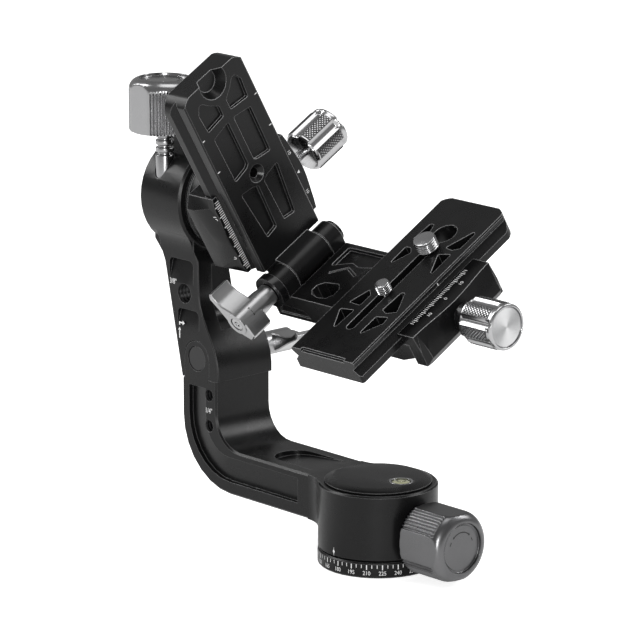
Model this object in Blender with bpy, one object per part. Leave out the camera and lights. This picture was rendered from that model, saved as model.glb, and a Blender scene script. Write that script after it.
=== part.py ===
"""Gimbal tripod head: a pan base, a two-piece swing arm, and a tilting quick-release cradle.

Frame: Z is the pan axis, X runs from the swing arm to the pan lock knob, and the origin is the
centre of the tripod socket on the underside. All lengths are in metres and all angles in radians.
The cradle is modelled in its own frame (x, w, n): x along the tilt axis, w along the hinge, and n
square to the second leaf. That frame is turned about the tilt axis by the tilt angle. Each clamp is
modelled in a frame (u, a, v): u out towards the movable jaw, a along the jaws, v up from the back.
"""
import math

import bmesh
import bpy
from mathutils import Matrix, Vector

# Fits
gap = 0.0003
overrun = 0.001
fine = 1e-7

# Facets of round shapes
large_steps = 36
medium_steps = 20
small_steps = 12
hidden_steps = 8
arc_steps = 7
corner_steps = 3

# Main layout
tilt_angle = math.radians(30)
tilt_height = 0.1355
arm_face_x = 0.1034
arm_half_width = 0.015
plate_face_x = 0.0623
hinge_drop = 0.026

# Pan base
base_radius = 0.0245
base_height = 0.0064
base_bevel = 0.0006
spindle_radius = 0.013
spindle_top = 0.022
spindle_neck_radius = 0.009
spindle_end = 0.0282
socket_radius = 0.00476
socket_depth = 0.014
insert_wall = 0.0024
insert_height = 0.012
bearing_wall = 0.0044
bearing_height = 0.004
washer_height = 0.0012
washer_wall = 0.0065
nut_height = 0.0036
nut_wall = 0.0045
nut_slot = 0.002

# Pan housing
housing_radius = 0.0243
housing_top = 0.0338
housing_bevel = 0.0007
cavity_radius = 0.0178
cap_radius = 0.02185
cap_flat_radius = 0.0186
cap_rise = 0.0017
cap_spigot = 0.0036
level_x = 0.0118
level_y = 0.0015
level_radius = 0.0050
level_depth = 0.0026
level_wall = 0.0009
level_dome = 0.0005

# Lower arm
arm_bottom = 0.015
arm_thickness = 0.0214
bend_outer_radius = 0.0295
bend_inner_radius = 0.0140
arm_bevel = 0.0008
neck_radius = 0.016
seam_height = 0.0612
shoulder_slope = 0.0016
tongue_radius = 0.0075
tongue_thickness = 0.009
bolt_rise = 0.0080
bolt_inset = 0.0093
bolt_radius = 0.0034
bolt_head_radius = 0.0051
bolt_head_height = 0.003
side_pocket_margin = 0.0044
side_pocket_low = 0.0054
side_pocket_width = 0.0105
side_pocket_depth = 0.0022
side_pocket_end = 0.0318
pocket_fade_share = 0.08
tapped_radius = 0.0026
tapped_depth = 0.008
tapped_low_drop = 0.0194
tapped_high_drop = 0.0063
tapped_inset = 0.0170
scoop_start = 0.0245
scoop_length = 0.0335
scoop_half_width = 0.0092
scoop_depth = 0.0022

# Upper arm
outer_lean_x = 0.1131
outer_lean_height = 0.104
outer_join_height = 0.1165
outer_bend_shares = ((0.12, 0.30), (0.34, 0.58), (0.62, 0.80), (0.94, 1.0))
inner_lip_x = 0.0930
inner_lip_height = 0.1105
inner_lip_top = 0.1144
inner_top_x = 0.0925
inner_top_height = 0.0965
inner_foot_x = 0.0806
inner_foot_rise = 0.0043
slot_half_width = 0.0038
window_low_share = 0.142
window_high_share = 0.941
window_web = 0.0075
window_wall = 0.0048
window_corner = 0.005
thumb_depth = 0.0022
thumb_corner = 0.0022
thumb_high_top_share = 0.985
thumb_high_drop_share = 0.340
thumb_high_left = 0.1108
thumb_high_right = 0.0959
thumb_low_top_share = 0.370
thumb_low_drop_share = 0.281
thumb_low_left = 0.1058
thumb_low_right = 0.0925
big_tapped_x = 0.1015
big_tapped_radius = 0.0042
big_tapped_share = 0.562

# Barrel and tilt shaft
barrel_radius = 0.023
barrel_face_x = 0.1204
barrel_length = 0.0252
barrel_bevel = 0.0009
web_radius = 0.0128
web_inset = 0.004
shaft_radius = 0.0128
shaft_neck_radius = 0.0095
shaft_bearing_wall = 0.0026
shaft_bearing_height = 0.0034
seat_start = 0.0147
cover_thickness = 0.0016
cover_depth = 0.0049
shaft_nut_height = 0.0024
flange_radius = 0.0200
flange_groove = 0.0004
flange_groove_place = 0.0016
flange_groove_width = 0.0005

# Lock knobs of the pan and tilt axes
knob_radius = 0.0147
knob_length = 0.0222
knob_flat = 0.01345
knob_flats = 4
knob_ribs = 6
rib_depth = 0.0007
rib_arc = math.radians(40)
knob_front_round = 0.0046
knob_rear_round = 0.0012
knob_row_shares = (0.10, 0.50, 0.86, 1.0)
knob_flat_shares = (-0.66, -0.22, 0.22, 0.66)
knob_dish_radius = 0.0103
knob_dish_depth = 0.0011
knob_disc_height = 0.0028
lock_screw_radius = 0.0038
pan_lock_height = 0.0162
pan_knob_reach = 0.0267
shoe_radius = 0.0046
shoe_length = 0.0036

# Tilt lock
stem_inset = 0.0098
stem_side = 0.0172
tilt_knob_rise = 0.0281
stem_bury = 0.0030
stem_groove = 0.0006
stem_groove_width = 0.0010
stem_high_groove = 0.0026
stem_low_groove = 0.0092

# Dovetail system
dove_half_width = 0.019
dove_neck = 0.0159
dove_land = 0.0031
dove_seat = 0.0049
clamp_height = 0.0147
clamp_lip = 0.0177
clamp_bed_end = 0.0217
jaw_split = 0.0220
belly_run = 0.0077
belly_rise = 0.0028
jaw_stations = 8

# Fixed jaws
fixed_width = 0.0242
fixed_foot = 0.0008
fixed_upright = 0.0047
fixed_wave = 0.0044
fixed_slope_rise = 0.0065
fixed_slope_run = 0.00275
fixed_front = 0.0004

# Movable jaws
jaw_foot = 0.0019
jaw_belly_height = 0.0030
jaw_rib_height = 0.0068
jaw_rib_inset = 0.0006
jaw_top_inset = 0.0036
jaw_wave = 0.0020

# First clamp, on the tilt shaft
clamp_a_front_x = 0.0698
clamp_a_half_length = 0.0192
clamp_a_jaw_width = 0.0280
clamp_a_corner = 0.0042
clamp_a_knob_reach = 0.0340
bolt_across = 0.0052
bolt_along = 0.0065
bolt_reach = 0.005
bolt_shank = 0.0015
bolt_cap = 0.0027
bolt_cap_height = 0.0022

# Second clamp, at the end of the second leaf
clamp_b_top = 0.0282
clamp_b_half_length = 0.024
clamp_b_jaw_width = 0.0302
clamp_b_corner = 0.0024
clamp_b_knob_reach = 0.0360

# Clamp knobs, screws and guide pins
grip_radius = 0.00975
grip_length = 0.0185
grip_flutes = 6
grip_flute_depth = 0.0011
grip_bevel = 0.0010
grip_dish = 0.0008
grip_disc_radius = 0.0078
grip_disc_height = 0.0020
grip_land_share = 0.52
grip_flute_shares = (0.18, 0.5, 0.82)
grip_cup_radius = 0.0070
grip_cup_depth = 0.0022
collar_radius = 0.0058
clamp_screw_radius = 0.0020
clamp_screw_height = 0.0069
guide_radius = 0.0016
guide_spacing = 0.0105
guide_start = 0.0090
guide_end = 0.0262

# First leaf
leaf_a_thickness = 0.0124
leaf_a_half_width = 0.0176
leaf_a_top = 0.0680
leaf_a_foot = 0.0195
leaf_a_corner = 0.0085
leaf_a_foot_corner = 0.0025
leaf_rim = 0.0006
thumb_notch_radius = 0.0072
thumb_notch_height = 0.0656
thumb_notch_cut = 0.0042
thumb_notch_floor_share = 0.66
pocket_depth = 0.0016
pocket_corner = 0.0007
leaf_hole_height = 0.0189
leaf_hole_radius = 0.0021
leaf_hole_sink = 0.0018
leaf_a_top_pocket = ((0.0022, 0.0502), (0.0022, 0.0552), (0.0062, 0.0582), (0.0090, 0.0612),
                     (0.0108, 0.0614), (0.0129, 0.0580), (0.0122, 0.0492))
leaf_a_long_pocket = ((0.0017, 0.0466), (0.0112, 0.0448), (0.0108, 0.0227), (0.0033, 0.0240),
                      (0.0017, 0.0252))
leaf_a_low_pocket = ((0.0112, 0.0162), (0.0044, 0.0151), (0.0018, 0.0138), (0.0024, -0.0068),
                     (0.0086, -0.0078))

# Hinge
hinge_offset = 0.0036
knuckle_radius = 0.0064
centre_knuckle = 0.0102
end_knuckle = 0.0179
knuckle_back = 0.0138
knuckle_shoulder = 0.0075
knuckle_relief = 0.0004
hinge_pin_radius = 0.0031
hinge_head_radius = 0.0050
hinge_head_height = 0.0016
hinge_washer_radius = 0.0074
hinge_washer_height = 0.0037

# Levers
lever_hub_radius = 0.0050
lever_foot_radius = 0.0046
lever_hub_length = 0.0204
lever_foot_length = 0.0030
lever_collar_length = 0.0055
lever_long_reach = 0.0165
arm_lever_reach = 0.0195
lever_short_reach = 0.0092
lever_blade = 0.0112
lever_edge = 0.0005
lever_long_shares = ((0.0, 0.92), (0.32, 0.62), (0.58, 0.24), (0.80, 0.20), (0.95, 0.44), (1.0, 0.16),
                     (0.92, -0.20), (0.62, -0.42), (0.32, -0.72), (0.0, -0.92))
lever_short_shares = ((0.5, -0.76), (0.96, -0.36), (1.0, 0.0), (0.96, 0.36), (0.5, 0.76))
hinge_lever_turn = math.radians(-48)
arm_lever_turn = math.radians(163)
lever_screw_radius = 0.0029
lever_screw_height = 0.0014
lever_hexagon_radius = 0.0014
lever_hexagon_sides = 6

# Second leaf
leaf_b_thickness = 0.0125
leaf_b_start_x = 0.0535
leaf_b_heel_x = 0.0652
leaf_b_heel_drop = 0.0070
leaf_b_end_x = 0.0200
leaf_b_tomb_drop = 0.0085
recess_depth = 0.0008
groove_width = 0.0012
groove_depth = 0.0005
leaf_b_recess = ((-0.0615, -0.0353), (-0.0470, -0.0366), (-0.0450, -0.0402), (-0.0632, -0.0403))
leaf_b_opening = ((-0.0447, -0.0085), (-0.0420, -0.0060), (-0.0346, -0.0051), (-0.0321, -0.0078),
                  (-0.0321, -0.0115), (-0.0343, -0.0142), (-0.0386, -0.0148), (-0.0427, -0.0137),
                  (-0.0447, -0.0116))
leaf_b_pocket = ((-0.0478, 0.0038), (-0.0477, 0.0154), (-0.0252, 0.0157), (-0.0252, 0.0080),
                 (-0.0335, 0.0062), (-0.0384, 0.0078))
leaf_b_chevron = ((-0.0449, -0.0004), (-0.0381, 0.0045), (-0.0309, 0.0012))

# Rail
rail_half_length = 0.0489
rail_half_width = 0.0182
rail_thickness = 0.0103
rail_far_corner = 0.0080
rail_near_corner = 0.0022
slot_radius = 0.0021
slot_near = 0.0325
keyhole_place = 0.0287
keyhole_radius = 0.0055
channel_half_width = 0.0054
channel_depth = 0.0046
rail_notch_depth = 0.0012
rail_notch_reach = 0.0014
rail_notch_half_width = 0.0125
rail_cut_corner = 0.0006
rail_cuts = (((-0.0122, -0.0186), (-0.0084, -0.0097), (-0.0056, -0.0125), (-0.0056, -0.0189)),
             ((-0.0070, -0.0345), (-0.0134, -0.0231), (-0.0061, -0.0221)),
             ((0.0070, -0.0340), (0.0071, -0.0227), (0.0129, -0.0215), (0.0136, -0.0251)),
             ((0.0069, -0.0183), (0.0077, -0.0072), (0.0096, -0.0071), (0.0146, -0.0177),
              (0.0101, -0.0197)),
             ((-0.0119, 0.0056), (-0.0120, 0.0171), (-0.0092, 0.0172), (-0.0068, 0.0146)),
             ((-0.0124, 0.0216), (-0.0113, 0.0324), (-0.0093, 0.0323), (-0.0068, 0.0250)),
             ((0.0070, 0.0215), (0.0130, 0.0335), (0.0144, 0.0320), (0.0142, 0.0228), (0.0112, 0.0210)),
             ((0.0118, 0.0067), (0.0067, 0.0171), (0.0127, 0.0187), (0.0128, 0.0065)))

# Camera screws and stop screw
screw_neck = 0.0018
quarter_radius = 0.003175
quarter_show = 0.0045
quarter_place = -0.0090
three_eighth_radius = 0.00476
three_eighth_show = 0.0055
three_eighth_place = 0.0185
screw_head_radius = 0.0050
screw_head_height = 0.0030
screw_slot = 0.0012
stop_screw_radius = 0.0022
stop_screw_height = 0.0013
stop_screw_place = -0.0450
stop_screw_x = 0.0105

# Worked out from the sizes above
bolt_height = seam_height + bolt_rise
tapped_low = seam_height - tapped_low_drop
tapped_high = seam_height - tapped_high_drop
inner_foot_height = seam_height + inner_foot_rise
tongue_top = bolt_height + tongue_radius
pocket_room = inner_lip_height - tongue_top
window_low = tongue_top + pocket_room * window_low_share
window_high = tongue_top + pocket_room * window_high_share
thumb_high_top = tongue_top + pocket_room * thumb_high_top_share
thumb_high_drop = pocket_room * thumb_high_drop_share
thumb_low_top = tongue_top + pocket_room * thumb_low_top_share
thumb_low_drop = pocket_room * thumb_low_drop_share
big_tapped_height = tongue_top + pocket_room * big_tapped_share
hinge_x = -(plate_face_x - hinge_offset)
leaf_b_top = -(hinge_drop + hinge_offset)
leaf_b_low = leaf_b_top - leaf_b_thickness
bolt_x = -(arm_face_x - bolt_inset)
inner_face_x = -(arm_face_x - arm_thickness)
bearing_top = base_height + gap + bearing_height
barrel_inner_x = -(barrel_face_x - barrel_length)
stem_x = barrel_face_x - stem_inset
clamp_a_back_x = -(clamp_a_front_x + clamp_height)
clamp_b_low = -(clamp_b_top + clamp_height)
clamp_seat = clamp_height - dove_seat - gap
housing_bore = spindle_radius + gap
insert_radius = socket_radius + insert_wall
shoe_end = spindle_radius + gap + shoe_length
rail_low = -(clamp_b_top + dove_seat)
rail_top = rail_low + rail_thickness
seam_corner_x = -(arm_face_x - shoulder_slope)
rest_frame = Matrix.Identity(4)

# Colours and finishes: colour, roughness, metallic
finishes = {
    "black": ((0.022, 0.022, 0.024, 1), 0.42, 0.7),
    "dark": ((0.012, 0.012, 0.013, 1), 0.55, 0.4),
    "grey": ((0.23, 0.23, 0.24, 1), 0.35, 0.9),
    "silver": ((0.62, 0.62, 0.63, 1), 0.28, 1.0),
    "steel": ((0.72, 0.72, 0.73, 1), 0.22, 1.0),
    "bronze": ((0.45, 0.29, 0.12, 1), 0.38, 1.0),
    "green": ((0.62, 0.72, 0.12, 1), 0.15, 0.0),
}


# General tools

def clear_scene():
    for old in list(bpy.data.objects):
        bpy.data.objects.remove(old, do_unlink=True)


def frame(name, parent, place=(0, 0, 0), turn=rest_frame):
    """An empty on a joint's axis, which carries the pieces of one moving body."""
    empty = bpy.data.objects.new(name, None)
    bpy.context.scene.collection.objects.link(empty)
    empty.location = place
    empty.rotation_euler = turn.to_euler()
    empty.parent = parent
    return empty


def finish_material(name, kind):
    colour, roughness, metallic = finishes[kind]
    material = bpy.data.materials.new(name + "_finish")
    material.use_nodes = True
    shader = material.node_tree.nodes["Principled BSDF"]
    shader.inputs["Base Color"].default_value = colour
    shader.inputs["Roughness"].default_value = roughness
    shader.inputs["Metallic"].default_value = metallic
    material.diffuse_color = colour
    return material


def piece(name, shape, parent, kind):
    """Turn a bmesh into a named object on its body's frame."""
    bmesh.ops.recalc_face_normals(shape, faces=shape.faces)
    mesh = bpy.data.meshes.new(name)
    shape.to_mesh(mesh)
    shape.free()
    mesh.materials.append(finish_material(name, kind))
    mesh.shade_smooth()
    mesh.set_sharp_from_angle(angle=math.radians(32))
    item = bpy.data.objects.new(name, mesh)
    bpy.context.scene.collection.objects.link(item)
    item.parent = parent
    return item


def temporary(shape):
    bmesh.ops.recalc_face_normals(shape, faces=shape.faces)
    mesh = bpy.data.meshes.new("tool")
    shape.to_mesh(mesh)
    shape.free()
    item = bpy.data.objects.new("tool", mesh)
    bpy.context.scene.collection.objects.link(item)
    return item


def combine(body, tools, operation):
    """Boolean the tools into the body one after another, and give the result as a bmesh."""
    base = temporary(body)
    helpers = [temporary(tool) for tool in tools]
    for helper in helpers:
        modifier = base.modifiers.new("join", "BOOLEAN")
        modifier.operation = operation
        modifier.solver = "EXACT"
        modifier.object = helper
    bpy.context.view_layer.update()
    evaluated = base.evaluated_get(bpy.context.evaluated_depsgraph_get())
    result = bmesh.new()
    result.from_mesh(evaluated.to_mesh())
    evaluated.to_mesh_clear()
    for item in [base] + helpers:
        mesh = item.data
        bpy.data.objects.remove(item)
        bpy.data.meshes.remove(mesh)
    return result


def cut(body, tools):
    return combine(body, tools, "DIFFERENCE")


def join(body, tools):
    return combine(body, tools, "UNION")


def overlap(body, tools):
    return combine(body, tools, "INTERSECT")


def moved(shape, place=(0, 0, 0), turn=rest_frame):
    """Turn a bmesh and then move it."""
    bmesh.ops.transform(shape, matrix=Matrix.Translation(place) @ turn, verts=shape.verts)
    return shape


def turn_about(axis, angle):
    return Matrix.Rotation(angle, 4, axis)


to_plus_x = turn_about("Y", math.radians(90))
to_plus_y = turn_about("X", math.radians(-90))
to_minus_y = turn_about("X", math.radians(90))
clamp_a_turn = Matrix(((0, 0, 1, 0), (1, 0, 0, 0), (0, 1, 0, 0), (0, 0, 0, 1)))


def turned(profile, steps, closed=False):
    """Turn a profile of (radius, height) points about Z; open profiles start and end on the axis."""
    shape = bmesh.new()
    verts = [shape.verts.new((radius, 0, height)) for radius, height in profile]
    pairs = list(zip(verts, verts[1:]))
    if closed:
        pairs.append((verts[-1], verts[0]))
    edges = [shape.edges.new(pair) for pair in pairs]
    bmesh.ops.spin(shape, geom=verts + edges, cent=(0, 0, 0), axis=(0, 0, 1), dvec=(0, 0, 0),
                   angle=math.radians(360), steps=steps, use_merge=True, use_duplicate=False)
    bmesh.ops.remove_doubles(shape, verts=shape.verts, dist=fine)
    bmesh.ops.recalc_face_normals(shape, faces=shape.faces)
    return shape


def ring(inner, outer, low, high, steps):
    profile = [(inner, low), (outer, low), (outer, high), (inner, high)]
    return turned(profile, steps, closed=True)


def rod(radius, low, high, steps, bevel=0):
    """A solid pin along Z."""
    profile = [(0, low), (radius, low), (radius, high), (0, high)]
    if bevel:
        profile = [(0, low), (radius - bevel, low), (radius, low + bevel), (radius, high - bevel),
                   (radius - bevel, high), (0, high)]
    return turned(profile, steps)


def prism(outline, low, high):
    """Extrude an outline in the XY plane from low to high along Z."""
    shape = bmesh.new()
    face = shape.faces.new([shape.verts.new((a, b, low)) for a, b in outline])
    lifted = bmesh.ops.extrude_face_region(shape, geom=[face])
    top = [item for item in lifted["geom"] if isinstance(item, bmesh.types.BMVert)]
    bmesh.ops.translate(shape, vec=(0, 0, high - low), verts=top)
    bmesh.ops.recalc_face_normals(shape, faces=shape.faces)
    return shape


def slab_along_y(outline, low, high):
    """Extrude an (x, z) outline along Y."""
    shape = prism(outline, low, high)
    for vert in shape.verts:
        vert.co = Vector((vert.co.x, vert.co.z, vert.co.y))
    bmesh.ops.recalc_face_normals(shape, faces=shape.faces)
    return shape


def slab_along_x(outline, low, high):
    """Extrude a (y, z) outline along X."""
    shape = prism(outline, low, high)
    for vert in shape.verts:
        vert.co = Vector((vert.co.z, vert.co.x, vert.co.y))
    bmesh.ops.recalc_face_normals(shape, faces=shape.faces)
    return shape


def block(low, high):
    """A box between two corners."""
    outline = [(low[0], low[1]), (high[0], low[1]), (high[0], high[1]), (low[0], high[1])]
    return prism(outline, low[2], high[2])


def lofted(rows):
    """Skin rows of points, each row a closed section, and cap both ends."""
    shape = bmesh.new()
    made = [[shape.verts.new(point) for point in row] for row in rows]
    count = len(made[0])
    for row, following in zip(made, made[1:]):
        for index in range(count):
            other = (index + 1) % count
            shape.faces.new((row[index], row[other], following[other]))
            shape.faces.new((row[index], following[other], following[index]))
    shape.faces.new(made[0])
    shape.faces.new(made[-1])
    bmesh.ops.recalc_face_normals(shape, faces=shape.faces)
    return shape


def arc(centre, radius, start, end, steps=arc_steps):
    """Points on an arc, both ends included; angles in radians."""
    angles = [start + (end - start) * step / steps for step in range(steps + 1)]
    return [(centre[0] + radius * math.cos(a), centre[1] + radius * math.sin(a)) for a in angles]


def rounded(corners, steps=corner_steps):
    """An outline from (a, b, radius) corners, each corner replaced by its fillet arc."""
    outline = []
    count = len(corners)
    for index, (a, b, radius) in enumerate(corners):
        here = Vector((a, b))
        before = Vector(corners[index - 1][:2]) - here
        after = Vector(corners[(index + 1) % count][:2]) - here
        opening = before.angle(after)
        if radius <= 0:
            outline.append((a, b))
            continue
        reach = min(radius / math.tan(opening / 2), before.length / 2, after.length / 2)
        middle = (before.normalized() + after.normalized()).normalized()
        centre = here + middle * math.hypot(reach, reach * math.tan(opening / 2))
        start = here + before.normalized() * reach - centre
        end = here + after.normalized() * reach - centre
        first = math.atan2(start.y, start.x)
        sweep = math.remainder(math.atan2(end.y, end.x) - first, 2 * math.pi)
        outline += arc(centre, start.length, first, first + sweep, steps)
    return outline


def softened(points, radius):
    return rounded([(a, b, radius) for a, b in points], 2)


def mirrored(points):
    return [(-a, b) for a, b in reversed(points)]


def bevelled(shape, width, choose):
    """Chamfer the edges that a test picks."""
    edges = [edge for edge in shape.edges if choose(edge)]
    bmesh.ops.bevel(shape, geom=edges, offset=width, offset_type="OFFSET", segments=1,
                    profile=0.5, affect="EDGES", clamp_overlap=True)
    return shape


def on_plane(edge, axis, value):
    return all(abs(vert.co[axis] - value) < fine for vert in edge.verts)


# Pan base

def build_base(parent):
    """Graduated disc and spindle in one turned piece, on the tripod's screw."""
    bore = insert_radius + gap
    profile = [
        (0, socket_depth), (bore, socket_depth), (bore, 0), (base_radius - base_bevel, 0),
        (base_radius, base_bevel), (base_radius, base_height - base_bevel),
        (base_radius - base_bevel, base_height), (spindle_radius, base_height),
        (spindle_radius, spindle_top), (spindle_neck_radius, spindle_top),
        (spindle_neck_radius, spindle_end), (0, spindle_end),
    ]
    piece("pan_base", turned(profile, large_steps), parent, "black")
    insert = ring(socket_radius, insert_radius, gap, insert_height, medium_steps)
    piece("socket_insert", insert, parent, "steel")
    inner = spindle_radius + gap
    bearing = ring(inner, inner + bearing_wall, base_height + gap, bearing_top, medium_steps)
    piece("pan_bearing", bearing, parent, "steel")


def build_retainer(parent):
    """Thrust washer and slotted ring nut that hold the housing down on the bearing."""
    inner = spindle_neck_radius + gap
    low = spindle_top + gap
    washer = ring(inner, inner + washer_wall, low, low + washer_height, medium_steps)
    piece("pan_washer", washer, parent, "bronze")
    low = low + washer_height + gap
    outer = inner + nut_wall
    nut = ring(inner, outer, low, low + nut_height, medium_steps)
    slots = []
    for turn in range(2):
        slot = block((-2 * outer, -nut_slot / 2, low + nut_height / 2),
                     (2 * outer, nut_slot / 2, low + nut_height + overrun))
        slots.append(moved(slot, turn=turn_about("Z", math.radians(90) * turn)))
    piece("pan_nut", cut(nut, slots), parent, "steel")


# Lower arm

def elbow_outline():
    """Side outline of the elbow, from the housing to the seam."""
    centre = (-arm_face_x + bend_outer_radius, arm_bottom + bend_outer_radius)
    outline = [(0, arm_bottom)]
    outline += arc(centre, bend_outer_radius, math.radians(270), math.radians(180))
    outline += [(-arm_face_x, seam_height - shoulder_slope), (seam_corner_x, seam_height)]
    outline += [(inner_face_x, seam_height)]
    centre = (inner_face_x + bend_inner_radius, housing_top + bend_inner_radius)
    outline += arc(centre, bend_inner_radius, math.radians(180), math.radians(270))
    outline += [(0, housing_top)]
    return outline


def tongue_outline(grow, low):
    """Round-topped tongue of the lower arm, or with a fit added, the socket for it."""
    radius = tongue_radius + grow
    outline = [(bolt_x - radius, low), (bolt_x + radius, low)]
    return outline + arc((bolt_x, bolt_height), radius, 0, math.radians(180), 2 * arc_steps)


def neck_outline():
    """Plan outline of the blended shoulders where the arm runs into the round housing."""
    reach = housing_radius + neck_radius
    side = arm_half_width + neck_radius
    drop = math.sqrt(reach * reach - side * side)
    centre = (-drop, side)
    meet = math.atan2(side, -drop)
    upper = arc(centre, neck_radius, math.radians(270), meet + math.pi)
    touch = upper[-1][1]
    lower = [(a, -b) for a, b in reversed(upper)]
    return upper + [(0, touch), (0, -touch)] + lower


def side_pocket():
    """Pocket in the arm's side: it follows the elbow, deep along the outside and fading inwards."""
    left = -arm_face_x + side_pocket_margin
    low = arm_bottom + side_pocket_low
    outer_radius = bend_outer_radius - side_pocket_margin
    inner_radius = outer_radius - side_pocket_width
    centre = (left + outer_radius, low + outer_radius)
    outer = [(left, tapped_high + tapped_radius)]
    outer += arc(centre, outer_radius, math.radians(180), math.radians(270))
    outer += [(-side_pocket_end, low)]
    inner = [(left + side_pocket_width, tapped_high + tapped_radius)]
    inner += arc(centre, inner_radius, math.radians(180), math.radians(270))
    inner += [(-side_pocket_end, low + side_pocket_width)]
    face = -arm_half_width
    floor = face + side_pocket_depth
    faded = face + side_pocket_depth * pocket_fade_share
    rows = []
    for (ax, az), (bx, bz) in zip(outer, inner):
        rows.append([(ax, face - overrun, az), (ax, floor, az), (bx, faded, bz), (bx, face - overrun, bz)])
    return lofted(rows)


def top_scoop():
    """Shallow hollow in the arm's top, deep at the far end and fading out towards the cap."""
    near = -scoop_start
    far = -(scoop_start + scoop_length)
    corners = [(near, -scoop_half_width, 0), (near, scoop_half_width, 0),
               (far, scoop_half_width, scoop_half_width), (far, -scoop_half_width, scoop_half_width)]
    low = housing_top - scoop_depth
    shape = prism(rounded(corners, arc_steps), low, housing_top + overrun)
    for vert in shape.verts:
        if vert.co.z < housing_top:
            vert.co.z = low + (scoop_depth + gap) * (vert.co.x - far) / scoop_length
    return shape


def bolt_hole():
    """Stepped hole through the tongue: wide for the flush head, narrow for the bolt."""
    head = bolt_head_radius + gap
    shank = bolt_radius + gap
    step = bolt_head_height + gap
    end = tongue_thickness + overrun
    profile = [(0, -overrun), (head, -overrun), (head, step), (shank, step), (shank, end), (0, end)]
    return moved(turned(profile, medium_steps), (bolt_x, -arm_half_width, bolt_height), to_plus_y)


def housing_tools():
    """Bores for spindle, bearing and retainer, and the cross hole for the pan lock."""
    low = base_height
    high = housing_top + overrun
    seat = housing_bore + bearing_wall + gap
    tools = [rod(housing_bore, low - overrun, high, large_steps),
             rod(seat, low - overrun, bearing_top + gap, large_steps),
             rod(cavity_radius, spindle_top, high, large_steps)]
    shoe = rod(shoe_radius + gap, 0, shoe_end + gap, small_steps)
    screw = rod(lock_screw_radius + gap, 0, housing_radius + overrun, small_steps)
    return tools + [moved(hole, (0, 0, pan_lock_height), to_plus_x) for hole in (shoe, screw)]


def build_lower_arm(parent):
    half = arm_half_width
    body = slab_along_y(elbow_outline(), -half, half)
    bevelled(body, arm_bevel, lambda edge: (on_plane(edge, 1, -half) or on_plane(edge, 1, half))
             and not on_plane(edge, 2, seam_height) and not on_plane(edge, 0, 0))
    tongue = slab_along_y(tongue_outline(0, seam_height - shoulder_slope), -half,
                          tongue_thickness - half)
    housing = rod(housing_radius, base_height + gap, housing_top, large_steps, housing_bevel)
    neck = prism(neck_outline(), arm_bottom, housing_top)
    body = join(body, [tongue, neck, housing])
    tools = housing_tools() + [side_pocket(), bolt_hole(), top_scoop()]
    for height in (tapped_low, tapped_high):
        hole = rod(tapped_radius, -overrun, tapped_depth, small_steps)
        tools.append(moved(hole, (-arm_face_x + tapped_inset, -half, height), to_plus_y))
    piece("lower_arm", cut(body, tools), parent, "black")


def build_arm_bolt(parent):
    """Clamp bolt across the joint: its round head lies flush in the tongue."""
    end = 2 * arm_half_width + lever_collar_length
    profile = [(0, gap), (bolt_head_radius, gap), (bolt_head_radius, bolt_head_height),
               (bolt_radius, bolt_head_height), (bolt_radius, end), (0, end)]
    bolt = moved(turned(profile, medium_steps), (bolt_x, -arm_half_width, bolt_height), to_plus_y)
    piece("arm_bolt", bolt, parent, "dark")


def build_cap(parent):
    """Round cap over the spindle with a broad bevel and the bubble level let into it."""
    low = housing_top + gap
    top = low + cap_rise
    spigot = cavity_radius - gap
    place = (level_x, level_y, 0)
    profile = [(0, low - cap_spigot), (spigot, low - cap_spigot), (spigot, low), (cap_radius, low),
               (cap_radius, low + cap_rise / 4), (cap_flat_radius, top), (0, top)]
    well = rod(level_radius + gap, top - level_depth, top + overrun, medium_steps)
    piece("housing_cap", cut(turned(profile, large_steps), [moved(well, place)]), parent, "black")
    seat = top - level_depth + gap
    inner = level_radius - level_wall
    case = [(0, seat), (level_radius, seat), (level_radius, top), (inner, top),
            (inner, seat + level_wall), (0, seat + level_wall)]
    piece("level_case", moved(turned(case, medium_steps), place), parent, "silver")
    base = seat + level_wall + gap
    radius = inner - gap
    vial = [(0, base), (radius, base), (radius, top - level_dome), (radius / 2, top),
            (0, top + level_dome / 2)]
    piece("level_vial", moved(turned(vial, medium_steps), place), parent, "green")


def build_pan_shoe(parent):
    """Brake shoe between the lock screw and the spindle, hollowed to fit it."""
    shoe = moved(rod(shoe_radius, spindle_radius - overrun, shoe_end, small_steps), turn=to_plus_x)
    hollow = rod(housing_bore, -2 * shoe_radius, 2 * shoe_radius, large_steps)
    shoe = moved(cut(shoe, [hollow]), (0, 0, pan_lock_height))
    piece("pan_brake_shoe", shoe, parent, "bronze")


# Lock knobs

def knob_ring_radius(angle, height, ribbed):
    """Radius of the lock knob: a rounded drum, ribbed on four arcs and planed flat between them."""
    radius = knob_radius
    if height < knob_rear_round:
        radius -= knob_rear_round - height
    start = knob_length - knob_front_round
    if height > start:
        rise = (height - start) / knob_front_round
        radius -= knob_front_round * (1 - math.sqrt(max(0, 1 - rise * rise)))
    sector = 2 * math.pi / knob_flats
    local = math.remainder(angle, sector)
    from_rib = sector / 2 - abs(local)
    if from_rib <= rib_arc / 2 and ribbed:
        phase = knob_ribs * (from_rib / rib_arc + 1 / 2)
        radius -= rib_depth * (1 - math.cos(2 * math.pi * phase)) / 2
    return min(radius, knob_flat / math.cos(local))


def knob_angles():
    """Angles around the knob: close together on the ribs, wide apart on the flats."""
    sector = 2 * math.pi / knob_flats
    flat_half = (sector - rib_arc) / 2
    count = 2 * knob_ribs
    angles = []
    for index in range(knob_flats):
        middle = index * sector
        angles += [middle + flat_half * share for share in knob_flat_shares]
        angles += [middle + flat_half + rib_arc * step / count for step in range(count + 1)]
    return angles


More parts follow.
